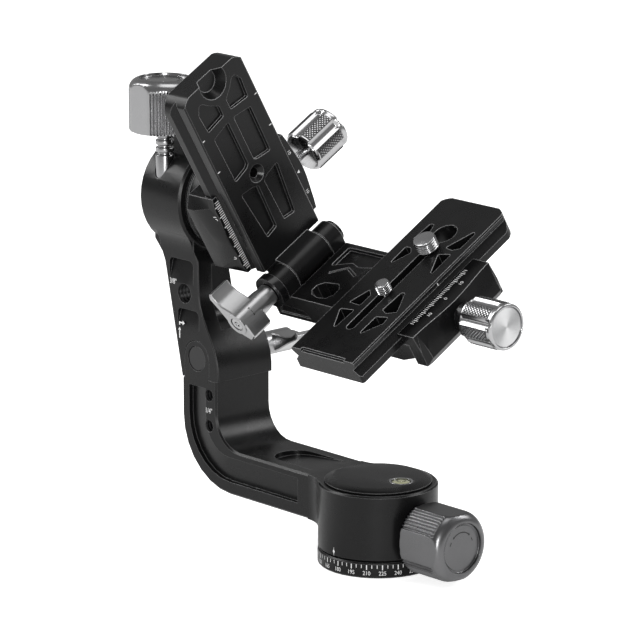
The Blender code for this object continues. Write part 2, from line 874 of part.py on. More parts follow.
def lock_knob():
    """Lock knob along Z with a dished front and a bore for its screw at the rear."""
    start = knob_length - knob_front_round
    rows = [(0, False), (knob_rear_round, True)]
    for index, share in enumerate(knob_row_shares):
        rows.append((start + knob_front_round * share, index < 1))
    skin = []
    for height, ribbed in rows:
        radii = [(angle, knob_ring_radius(angle, height, ribbed)) for angle in knob_angles()]
        skin.append([(r * math.cos(angle), r * math.sin(angle), height) for angle, r in radii])
    dish = rod(knob_dish_radius, knob_length - knob_disc_height - gap, knob_length + overrun,
               medium_steps)
    bore = rod(lock_screw_radius + gap, -overrun, knob_length - 2 * knob_disc_height, small_steps)
    return cut(lofted(skin), [dish, bore])


def knob_disc():
    """Plain disc let into the knob's front."""
    top = knob_length - knob_dish_depth
    low = knob_length - knob_disc_height
    return rod(knob_dish_radius - gap, low, top, medium_steps, knob_dish_depth / 3)


def screw_end():
    return knob_length - 2 * knob_disc_height - gap


def build_pan_knob(parent):
    piece("pan_knob", lock_knob(), parent, "grey")
    piece("pan_knob_disc", knob_disc(), parent, "grey")
    tip = shoe_end + gap - pan_knob_reach
    piece("pan_knob_screw", rod(lock_screw_radius, tip, screw_end(), small_steps, gap), parent, "steel")


def build_tilt_knob(parent):
    """Knob, disc and grooved stem; the stem runs down beside the shaft and wedges it."""
    piece("tilt_knob", lock_knob(), parent, "silver")
    piece("tilt_knob_disc", knob_disc(), parent, "silver")
    radius = lock_screw_radius
    narrow = radius - stem_groove
    half = stem_groove_width / 2
    low = -(tilt_knob_rise + stem_bury)
    profile = [(0, low), (radius, low)]
    for place in (-stem_low_groove, -stem_high_groove):
        profile += [(radius, place - half), (narrow, place), (radius, place + half)]
    profile += [(radius, screw_end()), (0, screw_end())]
    piece("tilt_knob_stem", turned(profile, medium_steps), parent, "silver")


# Levers

def lever(reach, bore):
    """Winged lever along Z: a hub with a long scooped wing and a short one, at its outer end."""
    profile = [(0, 0), (lever_foot_radius, 0), (lever_foot_radius, lever_foot_length),
               (lever_hub_radius, lever_collar_length), (lever_hub_radius, lever_hub_length),
               (0, lever_hub_length)]
    outline = [(-reach * along, lever_hub_radius * across) for along, across in lever_long_shares]
    outline += [(lever_short_reach * along, lever_hub_radius * across)
                for along, across in lever_short_shares]
    low = lever_hub_length - lever_blade
    high = lever_hub_length - gap
    wings = prism(outline, low, high)
    bevelled(wings, lever_edge, lambda edge: on_plane(edge, 2, low) or on_plane(edge, 2, high))
    body = join(turned(profile, medium_steps), [wings])
    well = rod(lever_screw_radius + gap, lever_hub_length - lever_screw_height - gap,
               lever_hub_length + overrun, small_steps)
    hole = rod(bore + gap, -overrun, lever_collar_length + gap, small_steps)
    return cut(body, [well, hole])


def lever_screw():
    """Low screw in the lever's end with a hexagon socket."""
    top = lever_hub_length - gap
    screw = rod(lever_screw_radius, lever_hub_length - lever_screw_height, top, small_steps)
    socket = rod(lever_hexagon_radius, top - lever_screw_height / 2, top + overrun,
                 lever_hexagon_sides)
    return cut(screw, [socket])


def build_lever(name, reach, bore, turn, parent):
    twist = turn_about("Z", turn)
    piece(name, moved(lever(reach, bore), turn=twist), parent, "silver")
    piece(name + "_screw", moved(lever_screw(), turn=twist), parent, "steel")


# Upper arm

def inner_edge():
    """Smooth double bend of the arm's inner edge, from top to foot."""
    points = []
    for step in range(arc_steps + 1):
        share = step / arc_steps
        blend = share * share * (3 - 2 * share)
        points.append((-inner_top_x + (inner_top_x - inner_foot_x) * blend,
                       inner_top_height + (inner_foot_height - inner_top_height) * share))
    return points


def upper_arm_outline():
    """Side outline of the leaning arm, up to the barrel's axis."""
    foot = seam_height + gap
    lift = gap * math.sqrt(2)
    outline = [(seam_corner_x + gap - lift, foot), (-arm_face_x, seam_height - shoulder_slope + lift),
               (-outer_lean_x, outer_lean_height)]
    for along, up in outer_bend_shares:
        outline.append((-outer_lean_x - (barrel_face_x - outer_lean_x) * along,
                        outer_lean_height + (outer_join_height - outer_lean_height) * up))
    outline += [(-barrel_face_x + gap, tilt_height), (barrel_inner_x - gap, tilt_height),
                (barrel_inner_x - gap, inner_lip_top), (-inner_lip_x, inner_lip_height)]
    return outline + inner_edge() + [(-inner_foot_x, foot)]


def barrel_webs():
    """Concave webs that carry the flat arm out to the barrel's full width."""
    side = arm_half_width + web_radius
    reach = barrel_radius + web_radius
    rise = math.sqrt(reach * reach - side * side)
    right = arc((side, tilt_height - rise), web_radius, math.radians(180), math.atan2(rise, -side))
    outline = right + [(0, tilt_height)] + mirrored(right)
    return slab_along_x(outline, -barrel_face_x + web_inset, barrel_inner_x - barrel_bevel)


def thumb_pocket(top, drop, left, right):
    """Finger hollow in the arm's side: steep at the top and fading out downwards."""
    face = -arm_half_width
    corners = [(-left, top - drop, 0), (-right, top - drop, 0), (-right, top, thumb_corner),
               (-left, top, thumb_corner)]
    shape = slab_along_y(rounded(corners), face - overrun, face + thumb_depth)
    for vert in shape.verts:
        if vert.co.y > face:
            vert.co.y = face - gap + (thumb_depth + gap) * (vert.co.z - (top - drop)) / drop
    return shape


def arm_window():
    """Opening from the arm's inner face through to its far side, behind a closed near web."""
    lean = (outer_lean_x - arm_face_x) / (outer_lean_height - seam_height)
    low_x = -arm_face_x - lean * (window_low - seam_height) + window_wall
    high_x = -arm_face_x - lean * (window_high - seam_height) + window_wall
    corners = [(low_x, window_low, window_corner), (0, window_low, 0), (0, window_high, 0),
               (high_x, window_high, window_corner)]
    return slab_along_y(rounded(corners, arc_steps), window_web - arm_half_width, arm_half_width + overrun)


def bolt_slot():
    """Slot, open below, that lets the arm lift off its clamp bolt."""
    low = seam_height - shoulder_slope - overrun
    outline = [(bolt_x - slot_half_width, low), (bolt_x + slot_half_width, low)]
    outline += arc((bolt_x, bolt_height + gap), slot_half_width, 0, math.radians(180))
    return slab_along_y(outline, tongue_thickness - arm_half_width, arm_half_width + overrun)


def barrel_tools():
    """Bores of the barrel: cover and nut outside, plain bore, and one long bearing seat inside."""
    outer = shaft_radius + shaft_bearing_wall + 2 * gap
    end = barrel_length + overrun
    profile = [(0, -overrun), (outer, -overrun), (outer, cover_depth), (shaft_radius + gap, cover_depth),
               (shaft_radius + gap, seat_start), (outer, seat_start), (outer, end), (0, end)]
    off_step = turn_about("Z", math.pi / large_steps)
    bore = moved(turned(profile, large_steps), (-barrel_face_x, 0, tilt_height), to_plus_x @ off_step)
    stem = rod(lock_screw_radius + gap, -(stem_bury + gap), barrel_radius + overrun, medium_steps)
    return [bore, moved(stem, (-stem_x, -stem_side, tilt_height))]


def build_upper_arm(parent):
    half = arm_half_width
    body = slab_along_y(upper_arm_outline(), -half, half)
    bevelled(body, arm_bevel, lambda edge: (on_plane(edge, 1, -half) or on_plane(edge, 1, half))
             and max(vert.co.z for vert in edge.verts) < inner_lip_top
             and max(vert.co.z for vert in edge.verts) > seam_height + shoulder_slope)
    profile = [(0, 0), (barrel_radius - barrel_bevel, 0), (barrel_radius, barrel_bevel),
               (barrel_radius, barrel_length - barrel_bevel),
               (barrel_radius - barrel_bevel, barrel_length), (0, barrel_length)]
    barrel = moved(turned(profile, large_steps), (-barrel_face_x, 0, tilt_height), to_plus_x)
    body = join(body, [barrel_webs(), barrel])
    socket = slab_along_y(tongue_outline(gap, seam_height - shoulder_slope - overrun),
                          -half - overrun, tongue_thickness + gap - half)
    hole = rod(big_tapped_radius, -overrun, window_web + overrun, small_steps)
    tools = barrel_tools() + [socket, bolt_slot(), arm_window()]
    tools.append(thumb_pocket(thumb_high_top, thumb_high_drop, thumb_high_left, thumb_high_right))
    tools.append(thumb_pocket(thumb_low_top, thumb_low_drop, thumb_low_left, thumb_low_right))
    tools.append(moved(hole, (-big_tapped_x, -half, big_tapped_height), to_plus_y))
    piece("upper_arm", cut(body, tools), parent, "black")


def build_barrel_parts(parent):
    """Two bearings with a spacer between them, and the cover over the barrel's outer end."""
    place = (-barrel_face_x, 0, tilt_height)
    inner = shaft_radius + gap
    outer = inner + shaft_bearing_wall
    first = seat_start + gap
    second = barrel_length - gap - shaft_bearing_height
    spans = (("tilt_bearing_outer", first, first + shaft_bearing_height, "steel"),
             ("tilt_bearing_spacer", first + shaft_bearing_height + gap, second - gap, "dark"),
             ("tilt_bearing_inner", second, second + shaft_bearing_height, "steel"))
    for name, low, high, kind in spans:
        piece(name, moved(ring(inner, outer, low, high, medium_steps), place, to_plus_x), parent, kind)
    cover = rod(outer, 0, cover_thickness, large_steps, barrel_bevel / 3)
    piece("barrel_cover", moved(cover, place, to_plus_x), parent, "black")


# Tilt shaft and clamps

def build_tilt_shaft(parent):
    """Shaft with the grooved flange that carries the first clamp, and the nut on its outer end."""
    start = cover_thickness + 2 * gap
    face = barrel_length + gap
    end = face + clamp_a_back_x - barrel_inner_x - 2 * gap
    profile = [(0, start), (shaft_neck_radius, start), (shaft_neck_radius, cover_depth),
               (shaft_radius, cover_depth), (shaft_radius, face), (flange_radius, face)]
    for place in (face + flange_groove_place, end - flange_groove_place):
        profile += [(flange_radius, place - flange_groove_width), (flange_radius - flange_groove, place),
                    (flange_radius, place + flange_groove_width)]
    profile += [(flange_radius, end), (0, end)]
    shaft = moved(turned(profile, large_steps), (-barrel_face_x, 0, 0), to_plus_x)
    holes = bolt_pattern(bolt_shank + gap, bolt_shank + gap, -bolt_reach - gap, overrun)
    holes = [moved(hole, (clamp_a_back_x, 0, 0), clamp_a_turn) for hole in holes]
    piece("tilt_shaft", cut(shaft, holes), parent, "black")
    nut = ring(shaft_neck_radius + gap, shaft_radius + shaft_bearing_wall, start,
               start + shaft_nut_height, medium_steps)
    piece("tilt_shaft_nut", moved(nut, (-barrel_face_x, 0, 0), to_plus_x), parent, "steel")


def bolt_pattern(shank, cap, low, high):
    """Four stepped screws, or the holes for them, between the shaft's flange and the clamp's bed."""
    step = clamp_seat - bolt_cap_height - gap
    if cap > bolt_cap:
        step -= gap
    bolts = []
    for across in (-bolt_across, bolt_across):
        for along in (-bolt_along, bolt_along):
            profile = [(0, low), (shank, low), (shank, high), (0, high)]
            if high > step:
                profile = [(0, low), (shank, low), (shank, step), (cap, step), (cap, high), (0, high)]
            bolts.append(moved(turned(profile, hidden_steps), (across, along, 0)))
    return bolts


def jaw_places(half_length, corner):
    inner = half_length - corner
    middle = [inner * (2 * index / jaw_stations - 1) for index in range(jaw_stations + 1)]
    return [-half_length] + middle + [half_length]


def fixed_flank(bulge):
    """Outer flank of a fixed jaw: upright low down, leaning in above a wavy shoulder."""
    upright = fixed_upright + fixed_wave * bulge
    shoulder = min(upright + fixed_slope_rise, clamp_height - gap)
    lean = fixed_slope_run * (shoulder - upright) / fixed_slope_rise
    top = fixed_width - lean - fixed_front
    return [(fixed_width - fixed_foot, 0), (fixed_width, fixed_foot), (fixed_width, upright),
            (fixed_width - lean, shoulder), (top, clamp_height)]


def movable_flank(bulge, width):
    """Outer flank of a movable jaw: bellied low down, leaning in to a wavy top edge."""
    return [(width - jaw_foot, 0), (width, jaw_belly_height), (width - jaw_rib_inset, jaw_rib_height),
            (width - jaw_top_inset + jaw_wave * bulge, clamp_height)]


def fixed_section(flank):
    """Bed and fixed jaw with the dovetail's undercut; the fixed jaw lies on the -u side."""
    wide = dove_half_width + gap
    land = clamp_height - (wide - clamp_lip)
    section = [(clamp_bed_end - belly_run, 0), (clamp_bed_end, belly_rise), (clamp_bed_end, clamp_seat),
               (-wide, clamp_seat), (-wide, land), (-clamp_lip, clamp_height)]
    return section + [(-out, up) for out, up in reversed(flank)]


def movable_section(flank):
    """Movable jaw with its undercut lip; it stands on the +u side, past the end of the bed."""
    wide = dove_half_width + gap
    land = clamp_height - (wide - clamp_lip)
    low = clamp_seat + gap
    return [(jaw_split, 0)] + flank + [(clamp_lip, clamp_height), (wide, land), (wide, low),
                                       (jaw_split, low)]


def jaw_rows(half_length, corner, width, flank_of, section_of):
    """Sections along the jaws, fullest in the middle, with the outer end corners cut at 45 degrees."""
    rows = []
    for place in jaw_places(half_length, corner):
        bulge = math.cos(math.pi * place / (2 * half_length)) ** 2
        limit = width + half_length - corner - abs(place)
        flank = [(min(out, limit), up) for out, up in flank_of(bulge)]
        rows.append([(out, place, up) for out, up in section_of(flank)])
    return rows


def cross_holes(start, end):
    """Holes along u: the screw in the middle and a guide pin on each side."""
    screw = moved(rod(clamp_screw_radius + gap, start, end, small_steps), (0, 0, clamp_screw_height),
                  to_plus_x)
    pins = []
    last = min(end, guide_end + gap)
    for side in (-guide_spacing, guide_spacing):
        pin = rod(guide_radius + gap, start, last, small_steps)
        pins.append(moved(pin, (0, side, clamp_screw_height), to_plus_x))
    return [screw] + pins


def fixed_jaw(half_length, corner):
    body = lofted(jaw_rows(half_length, corner, fixed_width, fixed_flank, fixed_section))
    return cut(body, cross_holes(guide_start - 2 * gap, clamp_bed_end + overrun))


def movable_jaw(half_length, corner, width):
    rows = jaw_rows(half_length, corner, width, lambda bulge: movable_flank(bulge, width),
                    movable_section)
    return cut(lofted(rows), cross_holes(jaw_split - overrun, width + overrun))


def build_clamp_a(parent):
    """First clamp's bed with its fixed jaw, and the screws that hold it on the flange."""
    holes = bolt_pattern(bolt_shank + gap, bolt_cap + gap, -overrun, clamp_seat + overrun)
    body = cut(fixed_jaw(clamp_a_half_length, clamp_a_corner), holes)
    piece("clamp_a_body", body, parent, "black")
    bolts = bolt_pattern(bolt_shank, bolt_cap, -bolt_reach, clamp_seat - gap)
    for index, bolt in enumerate(bolts):
        piece(f"clamp_a_bolt_{index + 1}", bolt, parent, "steel")


def build_jaw(name, half_length, corner, width, parent):
    piece(name + "_jaw", movable_jaw(half_length, corner, width), parent, "black")
    for index, side in enumerate((-guide_spacing, guide_spacing)):
        pin = rod(guide_radius, guide_start, guide_end, small_steps)
        pin = moved(pin, (0, side, clamp_screw_height), to_plus_x)
        piece(f"{name}_pin_{index + 1}", pin, parent, "steel")


def grip_skin():
    """Skin of a fluted knob along Z: six lands with a shallow concave flute between each pair."""
    sector = 2 * math.pi / grip_flutes
    land = sector * grip_land_share
    flute = sector - land
    spokes = []
    for index in range(grip_flutes):
        middle = index * sector
        spokes += [(middle - land / 2, 0), (middle, 0), (middle + land / 2, 0)]
        for share in grip_flute_shares:
            spokes.append((middle + land / 2 + flute * share, math.sin(math.pi * share)))
    skin = []
    heights = ((0, grip_bevel), (grip_bevel, 0), (grip_length - grip_bevel, 0), (grip_length, grip_bevel))
    for height, inset in heights:
        row = []
        for angle, hollow in spokes:
            radius = min(grip_radius - grip_flute_depth * hollow, grip_radius - inset)
            row.append((radius * math.cos(angle), radius * math.sin(angle), height))
        skin.append(row)
    return lofted(skin)


def build_grip(name, tip, parent):
    """Clamp knob, the bright disc in its end, and the screw through it."""
    floor = grip_length - grip_disc_height - grip_dish
    cup = rod(grip_cup_radius, -overrun, grip_cup_depth, medium_steps)
    well = rod(grip_disc_radius + gap, floor - gap, grip_length + overrun, medium_steps)
    bore = rod(clamp_screw_radius + gap, 0, floor - grip_disc_height, small_steps)
    piece(name + "_knob", cut(grip_skin(), [cup, well, bore]), parent, "silver")
    disc = rod(grip_disc_radius, floor, floor + grip_disc_height, medium_steps, gap)
    piece(name + "_knob_disc", disc, parent, "steel")
    screw = rod(clamp_screw_radius, tip, floor - grip_disc_height - gap, small_steps)
    piece(name + "_screw", screw, parent, "steel")


def build_collar(parent):
    """Thrust collar that fills the space between the second clamp's jaw and its knob."""
    start = clamp_b_jaw_width + gap - clamp_b_knob_reach
    collar = ring(clamp_screw_radius + gap, collar_radius, start, grip_cup_depth - gap, medium_steps)
    piece("clamp_b_collar", collar, parent, "dark")


# Leaves and rail

def plate_section(thickness, half_width):
    """Dovetail plate in section: (across, depth) with its face at depth zero."""
    neck = thickness - 2 * dove_land
    half = [(half_width - leaf_rim, 0), (half_width, leaf_rim),
            (half_width, neck - (half_width - dove_neck)), (dove_neck, neck),
            (dove_half_width, thickness - dove_land), (dove_half_width, thickness)]
    return half + mirrored(half)


def knuckle(low, high):
    shape = rod(knuckle_radius, low, high, medium_steps)
    return moved(shape, (hinge_x, 0, -hinge_drop), to_plus_y)


def hinge_bore(low, high, radius):
    return moved(rod(radius, low, high, medium_steps), (hinge_x, 0, -hinge_drop), to_plus_y)


def knuckle_box():
    """Backing that carries the centre knuckle below the first leaf."""
    low = -hinge_drop - knuckle_radius
    top = -leaf_a_foot + overrun
    back = hinge_x - knuckle_back
    outline = [(back, top), (-plate_face_x - gap, top), (hinge_x, -hinge_drop + knuckle_radius),
               (hinge_x, low), (hinge_x - knuckle_shoulder, low), (back, -hinge_drop)]
    return slab_along_y(outline, -centre_knuckle, centre_knuckle)


def leaf_a_tools():
    """Thumb notch, countersunk hole and six shallow pockets in the first leaf's face."""
    face = -plate_face_x
    notch = turned([(0, -thumb_notch_cut), (thumb_notch_radius * thumb_notch_floor_share, -thumb_notch_cut),
                    (thumb_notch_radius, 0), (thumb_notch_radius, overrun), (0, overrun)], medium_steps)
    tools = [moved(notch, (face, 0, thumb_notch_height), to_plus_x)]
    for points in (leaf_a_top_pocket, leaf_a_long_pocket, leaf_a_low_pocket):
        for outline in (points, mirrored(points)):
            tools.append(slab_along_x(softened(outline, pocket_corner), face - pocket_depth, face + overrun))
    hole = turned([(0, -leaf_a_thickness - overrun), (leaf_hole_radius, -leaf_a_thickness - overrun),
                   (leaf_hole_radius, -leaf_hole_sink), (leaf_hole_radius + leaf_hole_sink, 0),
                   (leaf_hole_radius + leaf_hole_sink, overrun), (0, overrun)], medium_steps)
    tools.append(moved(hole, (face, 0, leaf_hole_height), to_plus_x))
    return tools


def build_leaf_a(parent):
    """Upright dovetail leaf that slides in the first clamp, with the hinge's centre knuckle."""
    section = [(-plate_face_x - depth, across)
               for across, depth in plate_section(leaf_a_thickness, leaf_a_half_width)]
    plate = prism(section, -leaf_a_foot, leaf_a_top)
    wide = dove_half_width + gap
    low = -leaf_a_foot - gap
    top = leaf_a_top + gap
    corners = [(-wide, low, leaf_a_foot_corner), (wide, low, leaf_a_foot_corner),
               (wide, top, leaf_a_corner), (-wide, top, leaf_a_corner)]
    mask = slab_along_x(rounded(corners, arc_steps), -plate_face_x - leaf_a_thickness - overrun,
                        -plate_face_x + overrun)
    plate = overlap(plate, [mask])
    body = join(plate, [knuckle_box(), knuckle(-centre_knuckle, centre_knuckle)])
    reach = centre_knuckle + overrun
    tools = leaf_a_tools() + [hinge_bore(-reach, reach, hinge_pin_radius + gap)]
    piece("leaf_a", cut(body, tools), parent, "black")


def from_hinge(shape):
    """Shift a shape from the cradle's frame to the hinge's frame."""
    return moved(shape, (-hinge_x, 0, hinge_drop))


def ribbon(points, width):
    """Outline of a narrow groove along a bent line."""
    sides = []
    for index, (a, b) in enumerate(points):
        before = Vector(points[max(index - 1, 0)])
        after = Vector(points[min(index + 1, len(points) - 1)])
        along = (after - before).normalized()
        sides.append((Vector((a, b)), Vector((-along.y, along.x)) * width / 2))
    left = [tuple(place + side) for place, side in sides]
    right = [tuple(place - side) for place, side in reversed(sides)]
    return left + right


def leaf_b_blank():
    """Second leaf with its heel under the hinge and the two end knuckles."""
    heel_top = -(hinge_drop + leaf_b_heel_drop)
    outline = [(-leaf_b_heel_x, leaf_b_low), (-leaf_b_heel_x, heel_top), (-leaf_b_start_x, heel_top),
               (-leaf_b_start_x + hinge_offset / 2, leaf_b_top), (-leaf_b_end_x, leaf_b_top),
               (-leaf_b_end_x, leaf_b_low)]
    plate = slab_along_y(outline, -end_knuckle, end_knuckle)
    foot = -(hinge_drop + leaf_b_tomb_drop)
    dome = arc((hinge_x, -hinge_drop), knuckle_radius, 0, math.radians(180), 2 * arc_steps)
    tomb = [(hinge_x + knuckle_radius, foot)] + dome + [(hinge_x - knuckle_radius, foot)]
    inner = centre_knuckle + gap
    tombs = [slab_along_y(tomb, inner, end_knuckle), slab_along_y(tomb, -end_knuckle, -inner)]
    clamp = lofted(jaw_rows(clamp_b_half_length, clamp_b_corner, fixed_width, fixed_flank, fixed_section))
    clamp = cut(clamp, cross_holes(guide_start - 2 * gap, clamp_bed_end + overrun))
    return join(plate, tombs + [moved(clamp, (0, 0, clamp_b_low))])


def build_leaf_b(parent):
    inner = centre_knuckle + gap
    reach = end_knuckle + overrun
    top = leaf_b_top + overrun
    tools = [hinge_bore(-inner, inner, knuckle_radius + knuckle_relief),
             hinge_bore(-reach, reach, hinge_pin_radius + gap),
             prism(leaf_b_opening, leaf_b_low - overrun, top),
             prism(softened(leaf_b_pocket, pocket_corner), leaf_b_top - pocket_depth, top),
             prism(ribbon(leaf_b_chevron, groove_width), leaf_b_top - groove_depth, top),
             slab_along_y(leaf_b_recess, -end_knuckle - overrun, -end_knuckle + recess_depth),
             slab_along_y(leaf_b_recess, end_knuckle - recess_depth, end_knuckle + overrun)]
    piece("leaf_b", from_hinge(cut(leaf_b_blank(), tools)), parent, "black")


def build_hinge(parent):
    """Hinge bolt with its head on the far side, and the collar under the lever."""
    start = end_knuckle + gap
    washer_end = start + hinge_washer_height
    end = washer_end + gap + lever_collar_length
    profile = [(0, -(start + hinge_head_height)), (hinge_head_radius, -(start + hinge_head_height)),
               (hinge_head_radius, -start), (hinge_pin_radius, -start), (hinge_pin_radius, end), (0, end)]
    piece("hinge_bolt", moved(turned(profile, medium_steps), turn=to_minus_y), parent, "dark")
    washer = ring(hinge_pin_radius + gap, hinge_washer_radius, start, washer_end, medium_steps)
    piece("hinge_washer", moved(washer, turn=to_minus_y), parent, "dark")


def rail_tools():
    """Keyhole slot, the channel for screw heads below it, and the openwork either side."""
    low = rail_low - overrun
    high = rail_top + overrun
    slot = [(slot_radius, keyhole_place), (-slot_radius, keyhole_place)]
    slot += arc((0, slot_radius - slot_near), slot_radius, math.radians(180), math.radians(360))
    channel = [(channel_half_width, keyhole_place), (-channel_half_width, keyhole_place)]
    channel += arc((0, slot_radius - slot_near), channel_half_width, math.radians(180), math.radians(360))
    keyhole = moved(rod(keyhole_radius, low, high, medium_steps), (0, keyhole_place, 0))
    tools = [prism(slot, low, high), prism(channel, low, rail_low + channel_depth), keyhole]
    tools += [prism(softened(points, rail_cut_corner), low, high) for points in rail_cuts]
    tools.append(block((-rail_notch_half_width, -rail_half_length - overrun, rail_top - rail_notch_depth),
                       (rail_notch_half_width, -rail_half_length + rail_notch_reach, high)))
    return tools


def build_rail(parent):
    """Camera rail with dovetail edges, rounded far corners and a keyhole slot."""
    section = [(across, rail_top - depth)
               for across, depth in plate_section(rail_thickness, rail_half_width)]
    plate = slab_along_y(section, -rail_half_length, rail_half_length)
    wide = dove_half_width + gap
    long = rail_half_length + gap
    corners = [(-wide, -long, rail_near_corner), (wide, -long, rail_near_corner),
               (wide, long, rail_far_corner), (-wide, long, rail_far_corner)]
    mask = prism(rounded(corners, arc_steps), rail_low - overrun, rail_top + overrun)
    piece("rail", cut(overlap(plate, [mask]), rail_tools()), parent, "black")
    stop = rod(stop_screw_radius, rail_low - gap - stop_screw_height, rail_low - gap, small_steps)
    piece("rail_stop_screw", moved(stop, (stop_screw_x, stop_screw_place, 0)), parent, "steel")


def build_camera_screw(name, radius, show, parent):
    """Captive screw: slotted head in the channel, thin neck in the slot, thread above the rail."""
    seat = rail_low + channel_depth - gap
    low = seat - screw_head_height
    start = rail_top + gap
    profile = [(0, low), (screw_head_radius, low), (screw_head_radius, seat), (screw_neck, seat),
               (screw_neck, start), (radius, start), (radius, start + show - gap),
               (radius - gap, start + show), (0, start + show)]
    slot = block((-2 * screw_head_radius, -screw_slot / 2, low - overrun),
                 (2 * screw_head_radius, screw_slot / 2, low + screw_slot))
    piece(name, cut(turned(profile, medium_steps), [slot]), parent, "steel")


# Assembly

def build_pan():
    base = frame("base_body", None)
    build_base(base)
    build_retainer(base)
    arm = frame("pan_arm_body", None)
    build_lower_arm(arm)
    build_arm_bolt(arm)
    build_cap(arm)
    build_pan_shoe(arm)
    build_pan_knob(frame("pan_knob_body", arm, (pan_knob_reach, 0, pan_lock_height), to_plus_x))
    hub = frame("arm_lever_body", arm, (bolt_x, arm_half_width + gap, bolt_height), to_plus_y)
    build_lever("arm_lever", arm_lever_reach, bolt_radius, arm_lever_turn, hub)
    return arm


def build_tilt(arm):
    upper = frame("upper_arm_body", arm)
    build_upper_arm(upper)
    build_barrel_parts(upper)
    place = (-stem_x, -stem_side, tilt_height + tilt_knob_rise)
    build_tilt_knob(frame("tilt_knob_body", upper, place))
    cradle = frame("cradle_body", upper, (0, 0, tilt_height), turn_about("X", tilt_angle))
    build_tilt_shaft(cradle)
    mount = frame("clamp_a_body_frame", cradle, (clamp_a_back_x, 0, 0), clamp_a_turn)
    build_clamp_a(mount)
    jaw = frame("clamp_a_jaw_body", mount)
    build_jaw("clamp_a", clamp_a_half_length, clamp_a_corner, clamp_a_jaw_width, jaw)
    knob = frame("clamp_a_knob_body", jaw, (clamp_a_knob_reach, 0, clamp_screw_height), to_plus_x)
    build_grip("clamp_a", guide_start - clamp_a_knob_reach, knob)
    return cradle


def build_leaves(cradle):
    first = frame("leaf_a_body", cradle)
    build_leaf_a(first)
    second = frame("leaf_b_body", first, (hinge_x, 0, -hinge_drop))
    build_leaf_b(second)
    build_hinge(second)
    turn = hinge_washer_height + end_knuckle + 2 * gap
    hub = frame("hinge_lever_body", second, (0, -turn, 0), to_minus_y)
    build_lever("hinge_lever", lever_long_reach, hinge_pin_radius, hinge_lever_turn, hub)
    jaw = frame("clamp_b_jaw_body", second, (-hinge_x, 0, hinge_drop + clamp_b_low))
    build_jaw("clamp_b", clamp_b_half_length, clamp_b_corner, clamp_b_jaw_width, jaw)
    knob = frame("clamp_b_knob_body", jaw, (clamp_b_knob_reach, 0, clamp_screw_height), to_plus_x)
    build_grip("clamp_b", guide_start - clamp_b_knob_reach, knob)
    build_collar(knob)
    rail = frame("rail_body", second, (-hinge_x, 0, hinge_drop))
    build_rail(rail)
    quarter = frame("quarter_screw_body", rail, (0, quarter_place, 0))
    build_camera_screw("quarter_screw", quarter_radius, quarter_show, quarter)
    larger = frame("three_eighth_screw_body", rail, (0, three_eighth_place, 0))
    build_camera_screw("three_eighth_screw", three_eighth_radius, three_eighth_show, larger)


clear_scene()
build_leaves(build_tilt(build_pan()))
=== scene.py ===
"""Looks of a gimbal tripod head: finishes, knurling, threads, scales, light and camera.

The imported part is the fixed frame. Lengths are in metres. Cradle pieces are placed in the cradle's
own frame (x, w, n), which is turned 30 degrees about the tilt axis.
"""

import math

import bmesh
import bpy
from mathutils import Matrix, Vector

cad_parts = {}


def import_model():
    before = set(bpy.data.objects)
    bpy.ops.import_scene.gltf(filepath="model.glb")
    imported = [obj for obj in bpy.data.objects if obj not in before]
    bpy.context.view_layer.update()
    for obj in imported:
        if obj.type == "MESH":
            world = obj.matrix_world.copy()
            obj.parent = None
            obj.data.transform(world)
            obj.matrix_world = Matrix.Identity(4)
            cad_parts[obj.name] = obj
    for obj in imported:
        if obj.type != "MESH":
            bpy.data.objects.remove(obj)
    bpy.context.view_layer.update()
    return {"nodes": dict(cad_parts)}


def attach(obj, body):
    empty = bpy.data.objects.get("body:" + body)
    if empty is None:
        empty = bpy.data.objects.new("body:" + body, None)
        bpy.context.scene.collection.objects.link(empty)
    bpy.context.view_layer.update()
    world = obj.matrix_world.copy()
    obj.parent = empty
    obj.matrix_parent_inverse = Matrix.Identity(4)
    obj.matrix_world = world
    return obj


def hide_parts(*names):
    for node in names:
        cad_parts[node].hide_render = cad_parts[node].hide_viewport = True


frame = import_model()
nodes = frame["nodes"]
scene = bpy.context.scene

# Places of the moving parts
rest = Matrix.Identity(4)
to_x = Matrix.Rotation(math.radians(90), 4, "Y")
to_y = Matrix.Rotation(math.radians(-90), 4, "X")
to_minus_y = Matrix.Rotation(math.radians(90), 4, "X")
cradle = Matrix.Translation((0, 0, 0.1355)) @ Matrix.Rotation(math.radians(30), 4, "X")
clamp_turn = Matrix(((0, 0, 1, 0), (1, 0, 0, 0), (0, 1, 0, 0), (0, 0, 0, 1)))
clamp_a = cradle @ Matrix.Translation((-0.0845, 0, 0)) @ clamp_turn
clamp_b = cradle @ Matrix.Translation((0, 0, -0.0429))
knob_a = clamp_a @ Matrix.Translation((0.0340, 0, 0.0069)) @ to_x
knob_b = clamp_b @ Matrix.Translation((0.0360, 0, 0.0069)) @ to_x
pan_knob = Matrix.Translation((0.0267, 0, 0.0162)) @ to_x
tilt_knob = Matrix.Translation((-0.1106, -0.0172, 0.1636))
arm_hub = (Matrix.Translation((-0.0941, 0.0153, 0.0692)) @ to_y
           @ Matrix.Rotation(math.radians(163), 4, "Z"))
hinge_hub = (cradle @ Matrix.Translation((-0.0587, -0.0222, -0.026)) @ to_minus_y
             @ Matrix.Rotation(math.radians(-48), 4, "Z"))


# Materials

def link(tree, out, socket):
    tree.links.new(out, socket)


def node(tree, kind, **values):
    made = tree.nodes.new(kind)
    for key, value in values.items():
        if key in made.inputs:
            made.inputs[key].default_value = value
        else:
            setattr(made, key, value)
    return made


